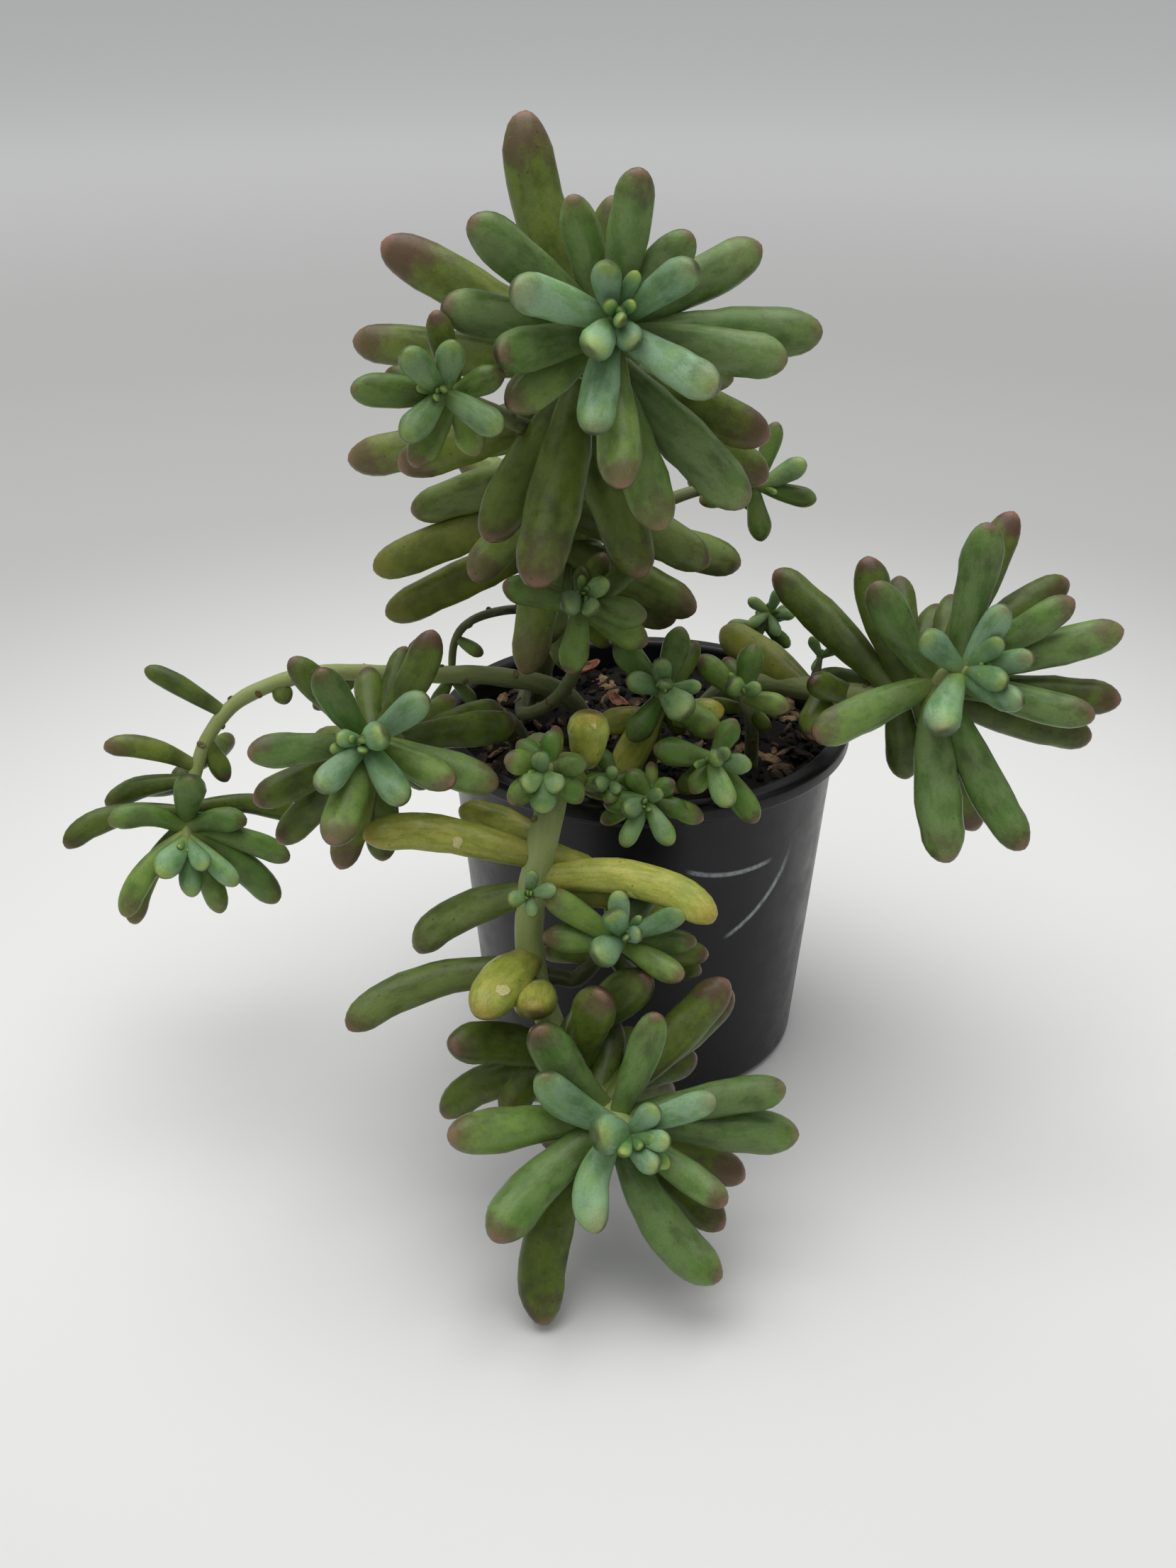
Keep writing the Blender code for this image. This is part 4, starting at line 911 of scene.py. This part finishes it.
def moulded_plastic():
    """Injection-moulded black polypropylene: satin, with a soft mottle from the mould, dust
    that thickens toward the foot, and two pale scuffs on the front of the wall."""
    made, add = new_material("moulded_plastic", "#121214")
    place = add("TexCoord", {}, "Object")
    mottle = add("TexNoise", [place, 1 / 0.006, 3.0, 0.6])
    dust = add("TexNoise", [place, 1 / 0.0012, 4.0, 0.75])
    axes = add("SeparateXYZ", [place]).node.outputs
    skin = add("Mix", [mottle, "#08080a", "#0c0c0e"], **COLOUR)
    low = add("MapRange", [axes["Z"], 0.0, 0.02, 1.0, 0.0], **SMOOTH)
    low = add("MapRange", [low, 0.0, 1.0, 0.1, 0.5], **SMOOTH)
    dusty = add("Math", [add("MapRange", [dust, 0.5, 0.72], **SMOOTH), low], **TIMES)
    skin = add("Mix", [dusty, skin, "#3a3733"], **COLOUR)
    front = add("MapRange", [axes["Y"], -0.02, -0.015, 1.0, 0.0], **SMOOTH)
    below_rim = add("MapRange", [axes["Z"], 0.069, 0.071, 1.0, 0.0], **SMOOTH)
    front = add("Math", [front, below_rim], **TIMES)
    strokes = [scuff_line(add, axes, *stroke) for stroke in SCUFFS]
    worn = add("Math", strokes, operation="MAXIMUM")
    worn = add("Math", [worn, front], **TIMES)
    worn = add("Math", [worn, add("MapRange", [dust, 0.3, 0.55, 0.3, 0.9], **SMOOTH)], **TIMES)
    skin = add("Mix", [worn, skin, "#a9b0b4"], **COLOUR)
    rough = add("MapRange", [mottle, 0.3, 0.7, 0.3, 0.4], **SMOOTH)
    for duller in (worn, dusty):
        rough = add("Math", [rough, add("Math", [duller, 0.3], **TIMES)], **PLUS)
    return finished(made, {
        "Base Color": skin,
        "Roughness": rough,
        "IOR": 1.49,
        "Specular IOR Level": 0.32,
        "Normal": add("Bump", {"Height": mottle, "Distance": 0.00005, "Strength": 1.0}),
    })


def damp_peat():
    """Potting mix: damp peat, nearly black, crumbly and dull."""
    made, add = new_material("damp_peat", "#15100c")
    place = add("TexCoord", {}, "Object")
    crumbs = add("TexNoise", [place, 1 / 0.0016, 4.0, 0.75])
    paler = add("MapRange", [crumbs, 0.4, 0.7], **SMOOTH)
    return finished(made, {
        "Base Color": add("Mix", [paler, "#0a0806", "#1e1610"], **COLOUR),
        "Roughness": 0.9,
        "IOR": 1.4,
        "Normal": add("Bump", {"Height": crumbs, "Distance": 0.0008, "Strength": 1.0}),
    })


def pine_bark_chip():
    """Composted pine bark: dry flat chips, brown to tan, with a grain along each."""
    made, add = new_material("pine_bark_chip", "#4a3828")
    place = add("TexCoord", {}, "Object")
    kind = add("TexNoise", [place, 1 / 0.007, 1.0, 0.5])
    fibres = add("TexNoise", [place, 1 / 0.0009, 4.0, 0.7])
    tan = add("MapRange", [kind, 0.46, 0.66], **SMOOTH)
    bark = add("Mix", [tan, "#2a1e14", "#8f7450"], **COLOUR)
    split = add("MapRange", [fibres, 0.45, 0.7, 0.0, 0.7], **SMOOTH)
    return finished(made, {
        "Base Color": add("Mix", [split, bark, "#150e09"], **COLOUR),
        "Roughness": 0.85,
        "IOR": 1.45,
        "Normal": add("Bump", {"Height": fibres, "Distance": 0.0004, "Strength": 1.0}),
    })


def dried_leaf_skin():
    """A sedum leaf that fell and dried: papery, wrinkled and red-brown."""
    made, add = new_material("dried_leaf_skin", "#8a5238")
    place = add("TexCoord", {}, "Object")
    wrinkles = add("TexNoise", [place, 1 / 0.0015, 4.0, 0.7])
    paler = add("MapRange", [wrinkles, 0.35, 0.65], **SMOOTH)
    return finished(made, {
        "Base Color": add("Mix", [paler, "#55301f", "#94603f"], **COLOUR),
        "Roughness": 0.7,
        "IOR": 1.45,
        "Normal": add("Bump", {"Height": wrinkles, "Distance": 0.0004, "Strength": 1.0}),
    })


# The paper's tones, and the metres from the pot's axis over which one turns into the next. The tones are
# painted light: white for the pool of light near the pot, greyer where that light falls off, and lighter
# far off to make up for the lamps' falloff.
NEAR_TONE, MIDDLE_TONE, FAR_TONE = "#eeeeec", "#c3c3c1", "#f8f8f7"
NEAR_FADE = (0.12, 0.4)
FAR_FADE = (0.6, 1.5)


def pale_paper():
    """Matt seamless paper, with painted light: painted white under the pot as a pool of light, painted
    greyer where it leaves that pool, and painted lighter again far off.
    """
    made, add = new_material("pale_paper", "#eeeeee")
    reach = add("VectorMath", [add("TexCoord", {}, "Object")], "Value", operation="LENGTH")
    # Painted light: the paper's colour follows the distance from the pot, not the paper itself.
    near = add("MapRange", [reach, *NEAR_FADE], **SMOOTH)
    far = add("MapRange", [reach, *FAR_FADE], **SMOOTH)
    tone_with_painted_light = add("Mix", [near, NEAR_TONE, MIDDLE_TONE], **COLOUR)
    return finished(made, {
        "Base Color": add("Mix", [far, tone_with_painted_light, FAR_TONE], **COLOUR),
        "Roughness": 0.95,
        "IOR": 1.3,
        "Specular IOR Level": 0.1,
    })


def add_piece(name, bm, materials, node=None):
    """A finished piece of the object, which rides on its one body and may stand for a CAD node."""
    bmesh.ops.recalc_face_normals(bm, faces=bm.faces)
    mesh = bpy.data.meshes.new(name)
    bm.to_mesh(mesh)
    bm.free()
    mesh.shade_smooth()
    for made in materials:
        mesh.materials.append(made)
    piece = bpy.data.objects.new(name, mesh)
    bpy.context.scene.collection.objects.link(piece)
    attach(piece, "root")
    if node:
        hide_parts(node)
    return piece


# The order of a plant's materials.
LEAF_SKIN, STEM_SKIN, CORK = range(3)


class Plant:
    """The mesh of one node's stems and leaves. Each starts as a ball, whose poles become its ends."""

    def __init__(self, node):
        self.bm = bmesh.new()
        self.ball = bpy.data.meshes.new(node + "_ball")
        self.count = 0

    def add(self, sides, rings, place, skin, traits):
        """A ball whose points are moved by place(ring, turn), which gives the new point, the unbent one
        and how far along they are, from 0 to 1."""
        self.count += 1
        offset = Vector((67.0 * self.count, 0, 0))
        ball = bmesh.new()
        layers = {name: ball.verts.layers.float.new(name) for name in TRAITS}
        unbent_layer = ball.verts.layers.float_vector.new("unbent")
        bmesh.ops.create_uvsphere(ball, u_segments=sides, v_segments=rings, radius=1.0)
        for v in ball.verts:
            ring_number = round(math.acos(max(-1.0, min(1.0, -v.co.z))) / math.pi * rings)
            turn = math.atan2(v.co.y, v.co.x)
            point, unbent, share = place(ring_number, turn)
            v.co = point * MM
            v[unbent_layer] = unbent + offset
            for name, value in traits.items():
                v[layers[name]] = value
            v[layers["along"]] = share
            v[layers["upper"]] = math.sin(turn)
        for face in ball.faces:
            face.material_index = skin
        ball.to_mesh(self.ball)
        ball.free()
        self.bm.from_mesh(self.ball)


def leaf_rings(leaf):
    """How many sides and rings a leaf of this length is made with."""
    if leaf.length > LARGE_LEAF:
        return 20, 20
    return (16, 16) if leaf.length > SMALL_LEAF else (12, 10)


def squared(share):
    """A sine or cosine for a section that is a little squarer than an ellipse."""
    return math.copysign(abs(share) ** (2 / SQUARENESS), share)


def add_leaf(plant, root, leaf, face, traits, phase):
    """One leaf's closed skin, with its root sunk into the stem and small lumps by its own phase."""
    sides, rings = leaf_rings(leaf)
    shares = [0.5 - 0.5 * math.cos(math.pi * j / rings) for j in range(rings + 1)]
    first = shares[1]
    shares = [max(0.0, (t - first) / (1 - first)) for t in shares]
    stations = leaf_stations(root, leaf, face, shares)
    base = stations[0][0] - (stations[2][0] - stations[0][0]).normalized() * SUNK_ROOT
    tip = stations[-1][0]
    point_out = (tip - stations[-2][0]).normalized() * TIP_POINT * min(1.0, leaf.width / 8)

    def place(j, turn):
        t = shares[j]
        if j == 0:
            return base, Vector((-SUNK_ROOT, 0, 0)), 0.0
        if j == rings:
            return tip + point_out, Vector((leaf.length, 0, 0)), 1.0
        centre, side, over = stations[j]
        half = leaf_half_width(leaf, t) * (1 + 0.02 * math.sin(9 * t + phase))
        x = squared(math.cos(turn)) * half
        y = squared(math.sin(turn)) * half * LEAF_FLATNESS
        if y > 0:
            y *= UPPER_FLATNESS + 0.1 * (1 - t)
        unbent = Vector((t * leaf.length, x, y))
        lump = LEAF_LUMP * half * noise.noise(unbent / LUMP_SIZE + Vector((phase, 0, 0)))
        x, y = x * (1 + lump), y * (1 + lump)
        return centre + side * x + over * y, unbent, t

    plant.add(sides, rings, place, LEAF_SKIN, traits)


# At each age: how old a leaf's skin looks, its wax, how sunburnt its tip is, and how lime it is.
SKIN_AT = {
    "bud": (0.2, 0.35, 0.1, 0.7),
    "young": (0.12, 0.8, 0.4, 0.3),
    "grown": (0.5, 0.5, 0.8, 0.1),
    "old": (0.9, 0.26, 1.0, 0.0),
    "faded": (1.0, 0.1, 0.2, 0.0),
}

# How far a plant's faded leaves have yellowed, how much wax it has, and how strongly the sun has
# browned its tips, where these are less or more than usual.
FADES = {"crown_stem": 0.35, "right_stem": 0.5}
BLOOMS = {"far_left_stem": 0.75, "crown_stem": 1.3}
BLUSHES = {"crown_stem": 0.9, "far_left_stem": 0.7, "right_stem": 1.1}


def leaf_traits(s, leaf, age, rng):
    """How green, waxy, sunburnt and faded a leaf is, by its age and size."""
    chance = float(rng.random())
    years, bloom, blush, lime = SKIN_AT[age]
    if age == "young" and leaf.length < 15:
        blush, lime = 0.15, 0.6
    if age == "old" and leaf.back > PLUMP_AT:
        bloom, blush = 0.6, 0.8
    if not s.old or s.fill[1] <= 13:
        years, bloom, lime = years + 0.25 * (1 - years), 0.7 * bloom, 0.6 * lime
    return {
        "age": years,
        "bloom": bloom * BLOOMS.get(s.node, 1.0) * (0.8 + 0.4 * float(rng.random())),
        "blush": blush * BLUSHES.get(s.node, 1.0) * (0.7 + 0.3 * float(rng.random())),
        "lime": lime,
        "fade": FADES.get(s.node, 1.0) if age == "faded" else 0.0,
        "chance": chance,
    }


# Stems, in millimetres: between the rings of their mesh, between leaf scars, from the tip to the first
# scar, and from the root to where the skin is wholly green.
STEM_RING_STEP = 1.4
SCAR_STEP = 5.5
SCAR_LOWEST_LEAF = 16.0
GREEN_STEM = 75.0
STEM_SIDES = 16

# A leaf scar is a small oval pad, dented in the middle: half its width and height round the stem, how
# far it stands out, and how deep the dent is.
SCAR_WIDTH = 1.15
SCAR_HEIGHT = 0.7
SCAR_RISE = 0.32
SCAR_DENT = 0.25
SCAR_SIDES = 10
SCAR_RINGS = 6


def stem_frames(line):
    """Two directions square to the stem at each of its points, that turn as little as they can."""
    across = Vector((1, 0, 0))
    frames = []
    for i in range(len(line)):
        along = (line[min(i + 1, len(line) - 1)] - line[max(i - 1, 0)]).normalized()
        across = (across - along * across.dot(along)).normalized()
        frames.append((across.copy(), along.cross(across)))
    return frames


def add_stem(plant, s, rng):
    """One stem's closed skin, a little uneven and narrower at its tip, with its leaf scars."""
    line = smooth_path(s.stem, step=STEM_RING_STEP)
    frames = stem_frames(line)
    rings = len(line) + 1
    last = len(line) - 1
    phase = 10 * float(rng.random())

    def place(j, turn):
        i = min(max(j - 1, 0), last)
        share = i / last
        ripe = min(1.0, i * STEM_RING_STEP / GREEN_STEM)
        if j == 0:
            return line[0], Vector((0, 0, 0)), 0.0
        if j == rings:
            end = line[-1] + (line[-1] - line[-2]).normalized() * 0.4 * s.thick[1]
            return end, Vector((STEM_RING_STEP * rings, 0, 0)), ripe
        radius = s.thick[0] + (s.thick[1] - s.thick[0]) * share
        radius *= 1 - 0.45 * max(0.0, 1 - (last - i) * STEM_RING_STEP / 4)
        across, over = frames[i]
        way = across * math.cos(turn) + over * math.sin(turn)
        unbent = Vector((STEM_RING_STEP * i, radius * math.cos(turn), radius * math.sin(turn)))
        swell = 1 + 0.07 * noise.noise(unbent / 4 + Vector((phase, 0, 0)))
        swell += 0.02 * math.sin(1.1 * i + phase)
        return line[i] + way * radius * swell, unbent, ripe

    plant.add(STEM_SIDES, rings, place, STEM_SKIN, {"age": 0.5})
    add_scars(plant, s, line, frames)


def add_scars(plant, s, line, frames):
    """Corky pads where leaves have fallen from the bare lower part of a stem."""
    bare = len(line) - round(SCAR_LOWEST_LEAF / STEM_RING_STEP)
    for number, i in enumerate(range(6, bare, round(SCAR_STEP / STEM_RING_STEP))):
        if line[i].z < SOIL_TOP + 2:
            continue
        turn = math.radians(number * GOLDEN_ANGLE)
        across, over = frames[i]
        radius = s.thick[0] + (s.thick[1] - s.thick[0]) * i / (len(line) - 1)
        outward = across * math.cos(turn) + over * math.sin(turn)
        sideways = over * math.cos(turn) - across * math.sin(turn)
        upward = outward.cross(sideways)
        middle = line[i] + outward * radius

        def place(j, spin):
            height = -math.cos(math.pi * j / SCAR_RINGS)
            wide = math.sin(math.pi * j / SCAR_RINGS)
            rim = sideways * SCAR_WIDTH * math.cos(spin) + upward * SCAR_HEIGHT * math.sin(spin)
            dent = SCAR_DENT * (1 - wide) if height > 0 else 0.0
            return middle + rim * wide + outward * (SCAR_RISE * height - dent), Vector((0, 0, 0)), 0.5

        plant.add(SCAR_SIDES, SCAR_RINGS, place, CORK, {"age": 1.0})


def build_plants():
    """Every plant of the pot: its stems, then its leaves in the order in which they are laid out."""
    rng = np.random.default_rng(SEED)
    skins = [waxy_leaf_skin(), stem_skin(), leaf_scar_cork()]
    plants = {s.node: Plant(s.node) for s in SHOOTS}
    for s in SHOOTS:
        add_stem(plants[s.node], s, rng)
    for s, root, leaf, age in grow(SHOOTS):
        traits = leaf_traits(s, leaf, age, rng)
        add_leaf(plants[s.node], root, leaf, s.face, traits, 10 * float(rng.random()))
    for node, plant in plants.items():
        add_piece(node + "_plant", plant.bm, skins, node)


def wall_radius(height):
    """The pot's outer radius at a height, below the rim."""
    return POT_FOOT_RADIUS + (POT_TOP_RADIUS - POT_FOOT_RADIUS) * height / (POT_HEIGHT - RIM_HEIGHT)


def turned(profile, sides, rounding=()):
    """A solid turned from a profile of (radius, height) that starts and ends on the axis. The corners
    between its ends are rounded by their own radius first."""
    bm = bmesh.new()
    verts = [bm.verts.new((r * MM, 0, z * MM)) for r, z in profile]
    for a, b in zip(verts, verts[1:]):
        bm.edges.new((a, b))
    for corner, radius in reversed(list(zip(verts[1:], rounding))):
        bmesh.ops.bevel(
            bm, geom=[corner], offset=radius * MM, offset_type="OFFSET", segments=4, profile=0.5,
            affect="VERTICES", material=-1,
        )
    bmesh.ops.spin(
        bm, geom=bm.verts[:] + bm.edges[:], cent=(0, 0, 0), axis=(0, 0, 1), dvec=(0, 0, 0),
        angle=2 * math.pi, steps=sides, use_merge=True,
    )
    bmesh.ops.remove_doubles(bm, verts=bm.verts, dist=0.00001)
    return bm


# How far each corner of the pot's profile is rounded, from its second corner to its last but one.
POT_ROUNDING = (0.4, 0.5, 0.8, 0.3, 0.25, 0.4, 0.4, 0.35, 0.4, 1.0)


def pot_profile():
    """The pot's half section: (radius, height) from the middle of its foot round to that of its floor."""
    under_rim = POT_HEIGHT - RIM_HEIGHT
    inner = POT_TOP_RADIUS - POT_WALL
    return [
        (0, 0),
        (POT_FOOT_RADIUS - 1.5, 0),
        (POT_FOOT_RADIUS, 1.5),
        (POT_TOP_RADIUS - 0.1, under_rim - 1.2),
        (RIM_RADIUS - 0.6, under_rim),
        (RIM_RADIUS, under_rim + 0.6),
        (RIM_RADIUS, POT_HEIGHT - 0.9),
        (RIM_RADIUS - 0.9, POT_HEIGHT),
        (inner + 0.7, POT_HEIGHT),
        (inner, POT_HEIGHT - 0.9),
        (wall_radius(FLOOR_THICKNESS) - POT_WALL, FLOOR_THICKNESS),
        (0, FLOOR_THICKNESS),
    ]


def build_pot():
    """The pot's turned wall and rim, with its drain holes cut through the floor."""
    wall = turned(pot_profile(), POT_SIDES, POT_ROUNDING)
    pot = add_piece("nursery_pot", wall, [moulded_plastic()], "pot")
    bm = bmesh.new()
    for i in range(DRAIN_HOLES):
        turn = 2 * math.pi * i / DRAIN_HOLES
        spot = Vector((DRAIN_CIRCLE * math.cos(turn), DRAIN_CIRCLE * math.sin(turn), 0)) * MM
        bmesh.ops.create_cone(
            bm, cap_ends=True, segments=32, radius1=DRAIN_RADIUS * MM, radius2=DRAIN_RADIUS * MM,
            depth=8 * MM, matrix=Matrix.Translation(spot),
        )
    mesh = bpy.data.meshes.new("drain_cutter")
    bm.to_mesh(mesh)
    bm.free()
    cutter = bpy.data.objects.new("drain_cutter", mesh)
    bpy.context.scene.collection.objects.link(cutter)
    holes = pot.modifiers.new("drain_holes", "BOOLEAN")
    holes.operation = "DIFFERENCE"
    holes.object = cutter
    holes.solver = "MANIFOLD"
    bpy.context.view_layer.update()
    graph = bpy.context.evaluated_depsgraph_get()
    pot.data = bpy.data.meshes.new_from_object(pot.evaluated_get(graph))
    pot.modifiers.clear()
    bpy.data.objects.remove(cutter)
    pot.data.shade_smooth()
    pot.data.set_sharp_from_angle(angle=math.radians(40))


def soil_height(x, y):
    """The lumpy top of the potting mix."""
    lumps = math.sin(0.33 * x + 1.1) * math.cos(0.41 * y - 0.4)
    lumps += 0.6 * math.sin(0.71 * x - 0.53 * y) + 0.4 * math.cos(0.9 * y + 0.8 * x)
    return SOIL_TOP + SOIL_LUMP * lumps / 2


def build_soil(rng):
    """The body of the potting mix, with its crumbs and bark chips lying on it."""
    edge = wall_radius(SOIL_TOP - 2) - POT_WALL - 0.1
    top = [(edge * (1 - i / SOIL_RINGS), SOIL_TOP) for i in range(SOIL_RINGS)]
    bottom = FLOOR_THICKNESS + 0.1
    profile = [(0, bottom), (wall_radius(bottom) - POT_WALL - 0.1, bottom), *top, (0, SOIL_TOP)]
    bm = turned(profile, SOIL_SIDES)
    for v in bm.verts:
        x, y, z = v.co / MM
        if z > SOIL_TOP - 0.1:
            crumb = CRUMB_RISE * noise.fractal(Vector((x, y, 0)) / CRUMB_SIZE, 0.6, 2.0, 4)
            v.co.z = (soil_height(x, y) + crumb) * MM
    add_piece("potting_mix", bm, [damp_peat()], "soil")

    bm = bmesh.new()
    feet = [s.stem[0] for s in SHOOTS if s.stem[0].z < SOIL_TOP]
    for number in range(CRUMBS + CHIPS):
        chip = number >= CRUMBS
        reach = (edge - 1.6) * math.sqrt(float(rng.random()))
        turn = 2 * math.pi * float(rng.random())
        size = float(rng.uniform(*(CHIP_SIZES if chip else CRUMB_SIZES)))
        shape = Vector(CHIP_SHAPE if chip else CRUMB_SHAPE)
        tilt = [float(a) for a in rng.normal(0, CHIP_TILT if chip else CRUMB_TILT, 2)]
        spin = 2 * math.pi * float(rng.random())
        x, y = reach * math.cos(turn), reach * math.sin(turn)
        if any((foot.xy - Vector((x, y))).length < STEM_CLEARING for foot in feet):
            continue
        spot = Vector((x, y, soil_height(x, y) + 0.35 * size)) * MM
        matrix = Matrix.Translation(spot) @ Matrix.Rotation(spin, 4, "Z")
        matrix = matrix @ Matrix.Rotation(tilt[0], 4, "X") @ Matrix.Rotation(tilt[1], 4, "Y")
        matrix = matrix @ Matrix.Diagonal((*(shape * size * MM), 1))
        lump = bmesh.ops.create_icosphere(bm, subdivisions=1, radius=1.0, matrix=matrix)
        for v in lump["verts"]:
            v.co += noise.noise_vector(v.co * 900) * 0.25 * size * MM
        for face in {f for v in lump["verts"] for f in v.link_faces}:
            face.material_index = 1 if chip else 0
    chips = add_piece("bark_and_crumbs", bm, [damp_peat(), pine_bark_chip()])
    chips.data.shade_flat()


# Fallen leaves on the soil: where each lies, its length and width, and its turn.
FALLEN = (
    ((-14.0, 30.0, 74.5), 12.0, 4.6, 20),
    ((-5.0, 14.0, 73.6), 9.0, 3.0, 115),
    ((18.0, -20.0, 73.4), 8.0, 2.8, 60),
)


def build_fallen_leaves():
    """Shrivelled leaves, curled lengthways and across."""
    skin = dried_leaf_skin()
    bm = bmesh.new()
    for spot, length, width, turn in FALLEN:
        sheet = bmesh.ops.create_grid(bm, x_segments=14, y_segments=7, size=1.0)["verts"]
        place = Matrix.Translation(Vector(spot) * MM) @ Matrix.Rotation(math.radians(turn), 4, "Z")
        for v in sheet:
            t, across = v.co.x, v.co.y
            narrow = (1 - 0.85 * t * t) * width / 2
            curl = 1.5 * across
            wrinkle = 0.35 * noise.noise(Vector((t * 3, across * 2, turn)))
            x = 0.5 * length * math.sin(1.1 * t) / 1.1
            z = 0.28 * length * (1 - math.cos(1.3 * t)) + narrow * (1 - math.cos(curl)) * 0.8
            v.co = place @ (Vector((x, narrow * math.sin(curl), z + wrinkle)) * MM)
    bmesh.ops.solidify(bm, geom=bm.faces[:], thickness=0.25 * MM)
    add_piece("fallen_leaves", bm, [skin])


def build_floor():
    """A wide disc of pale paper under the pot."""
    bm = bmesh.new()
    bmesh.ops.create_circle(bm, cap_ends=True, segments=96, radius=6.0)
    mesh = bpy.data.meshes.new("floor")
    bm.to_mesh(mesh)
    bm.free()
    mesh.materials.append(pale_paper())
    floor = bpy.data.objects.new("floor", mesh)
    bpy.context.scene.collection.objects.link(floor)


# How bright the room and each soft box is.
ROOM_LIGHT = 0.27
CEILING_WATTS = 104.0
OVERHEAD_WATTS = 9.1
FRONT_WATTS = 0.4


def add_light(name, spot, target, width, height, watts, tint="#ffffff"):
    """A soft box that looks at a point."""
    lamp = bpy.data.lights.new(name, "AREA")
    lamp.shape = "RECTANGLE"
    lamp.size, lamp.size_y = width, height
    lamp.energy = watts
    lamp.color = linear(tint)[:3]
    made = bpy.data.objects.new(name, lamp)
    made.location = spot
    made.rotation_euler = (Vector(target) - Vector(spot)).to_track_quat("-Z", "Y").to_euler()
    bpy.context.scene.collection.objects.link(made)


def build_studio():
    """A large soft box overhead, a weaker one at the front, a pale ceiling, and a dim room all round."""
    world = bpy.data.worlds.new("room")
    world.use_nodes = True
    sky = world.node_tree.nodes["Background"]
    sky.inputs["Color"].default_value = linear("#f4f6f8")
    sky.inputs["Strength"].default_value = ROOM_LIGHT
    bpy.context.scene.world = world
    add_light("ceiling", (0, 2.0, 3.0), (0, 2.0, 0), 12.0, 12.0, CEILING_WATTS)
    add_light("overhead_box", (-0.1, 0.0, 1.1), (0, 0, 0.1), 1.2, 1.0, OVERHEAD_WATTS)
    add_light("front_box", (-0.5, -0.9, 0.75), (0, 0, 0.1), 0.7, 0.7, FRONT_WATTS)
    bpy.context.scene.view_settings.view_transform = "Standard"
    bpy.context.scene.cycles.use_denoising = True


# The photograph's viewpoint: in front of the pot and above it, looking down.
CAMERA_SPOT = (-12.0, -366.0, 248.0)
CAMERA_PITCH = 27.1
CAMERA_LENS = 42.3
SENSOR = 36.0


def build_camera():
    """The camera at the photograph's place and angle."""
    lens = bpy.data.cameras.new("camera")
    lens.lens = CAMERA_LENS
    lens.sensor_width = SENSOR
    lens.clip_start, lens.clip_end = 0.01, 20.0
    made = bpy.data.objects.new("camera", lens)
    made.location = Vector(CAMERA_SPOT) * MM
    made.rotation_euler = (math.radians(90 - CAMERA_PITCH), 0, 0)
    bpy.context.scene.collection.objects.link(made)
    bpy.context.scene.camera = made


build_camera()
build_studio()
build_floor()
build_pot()
build_soil(np.random.default_rng(SEED))
build_fallen_leaves()
build_plants()
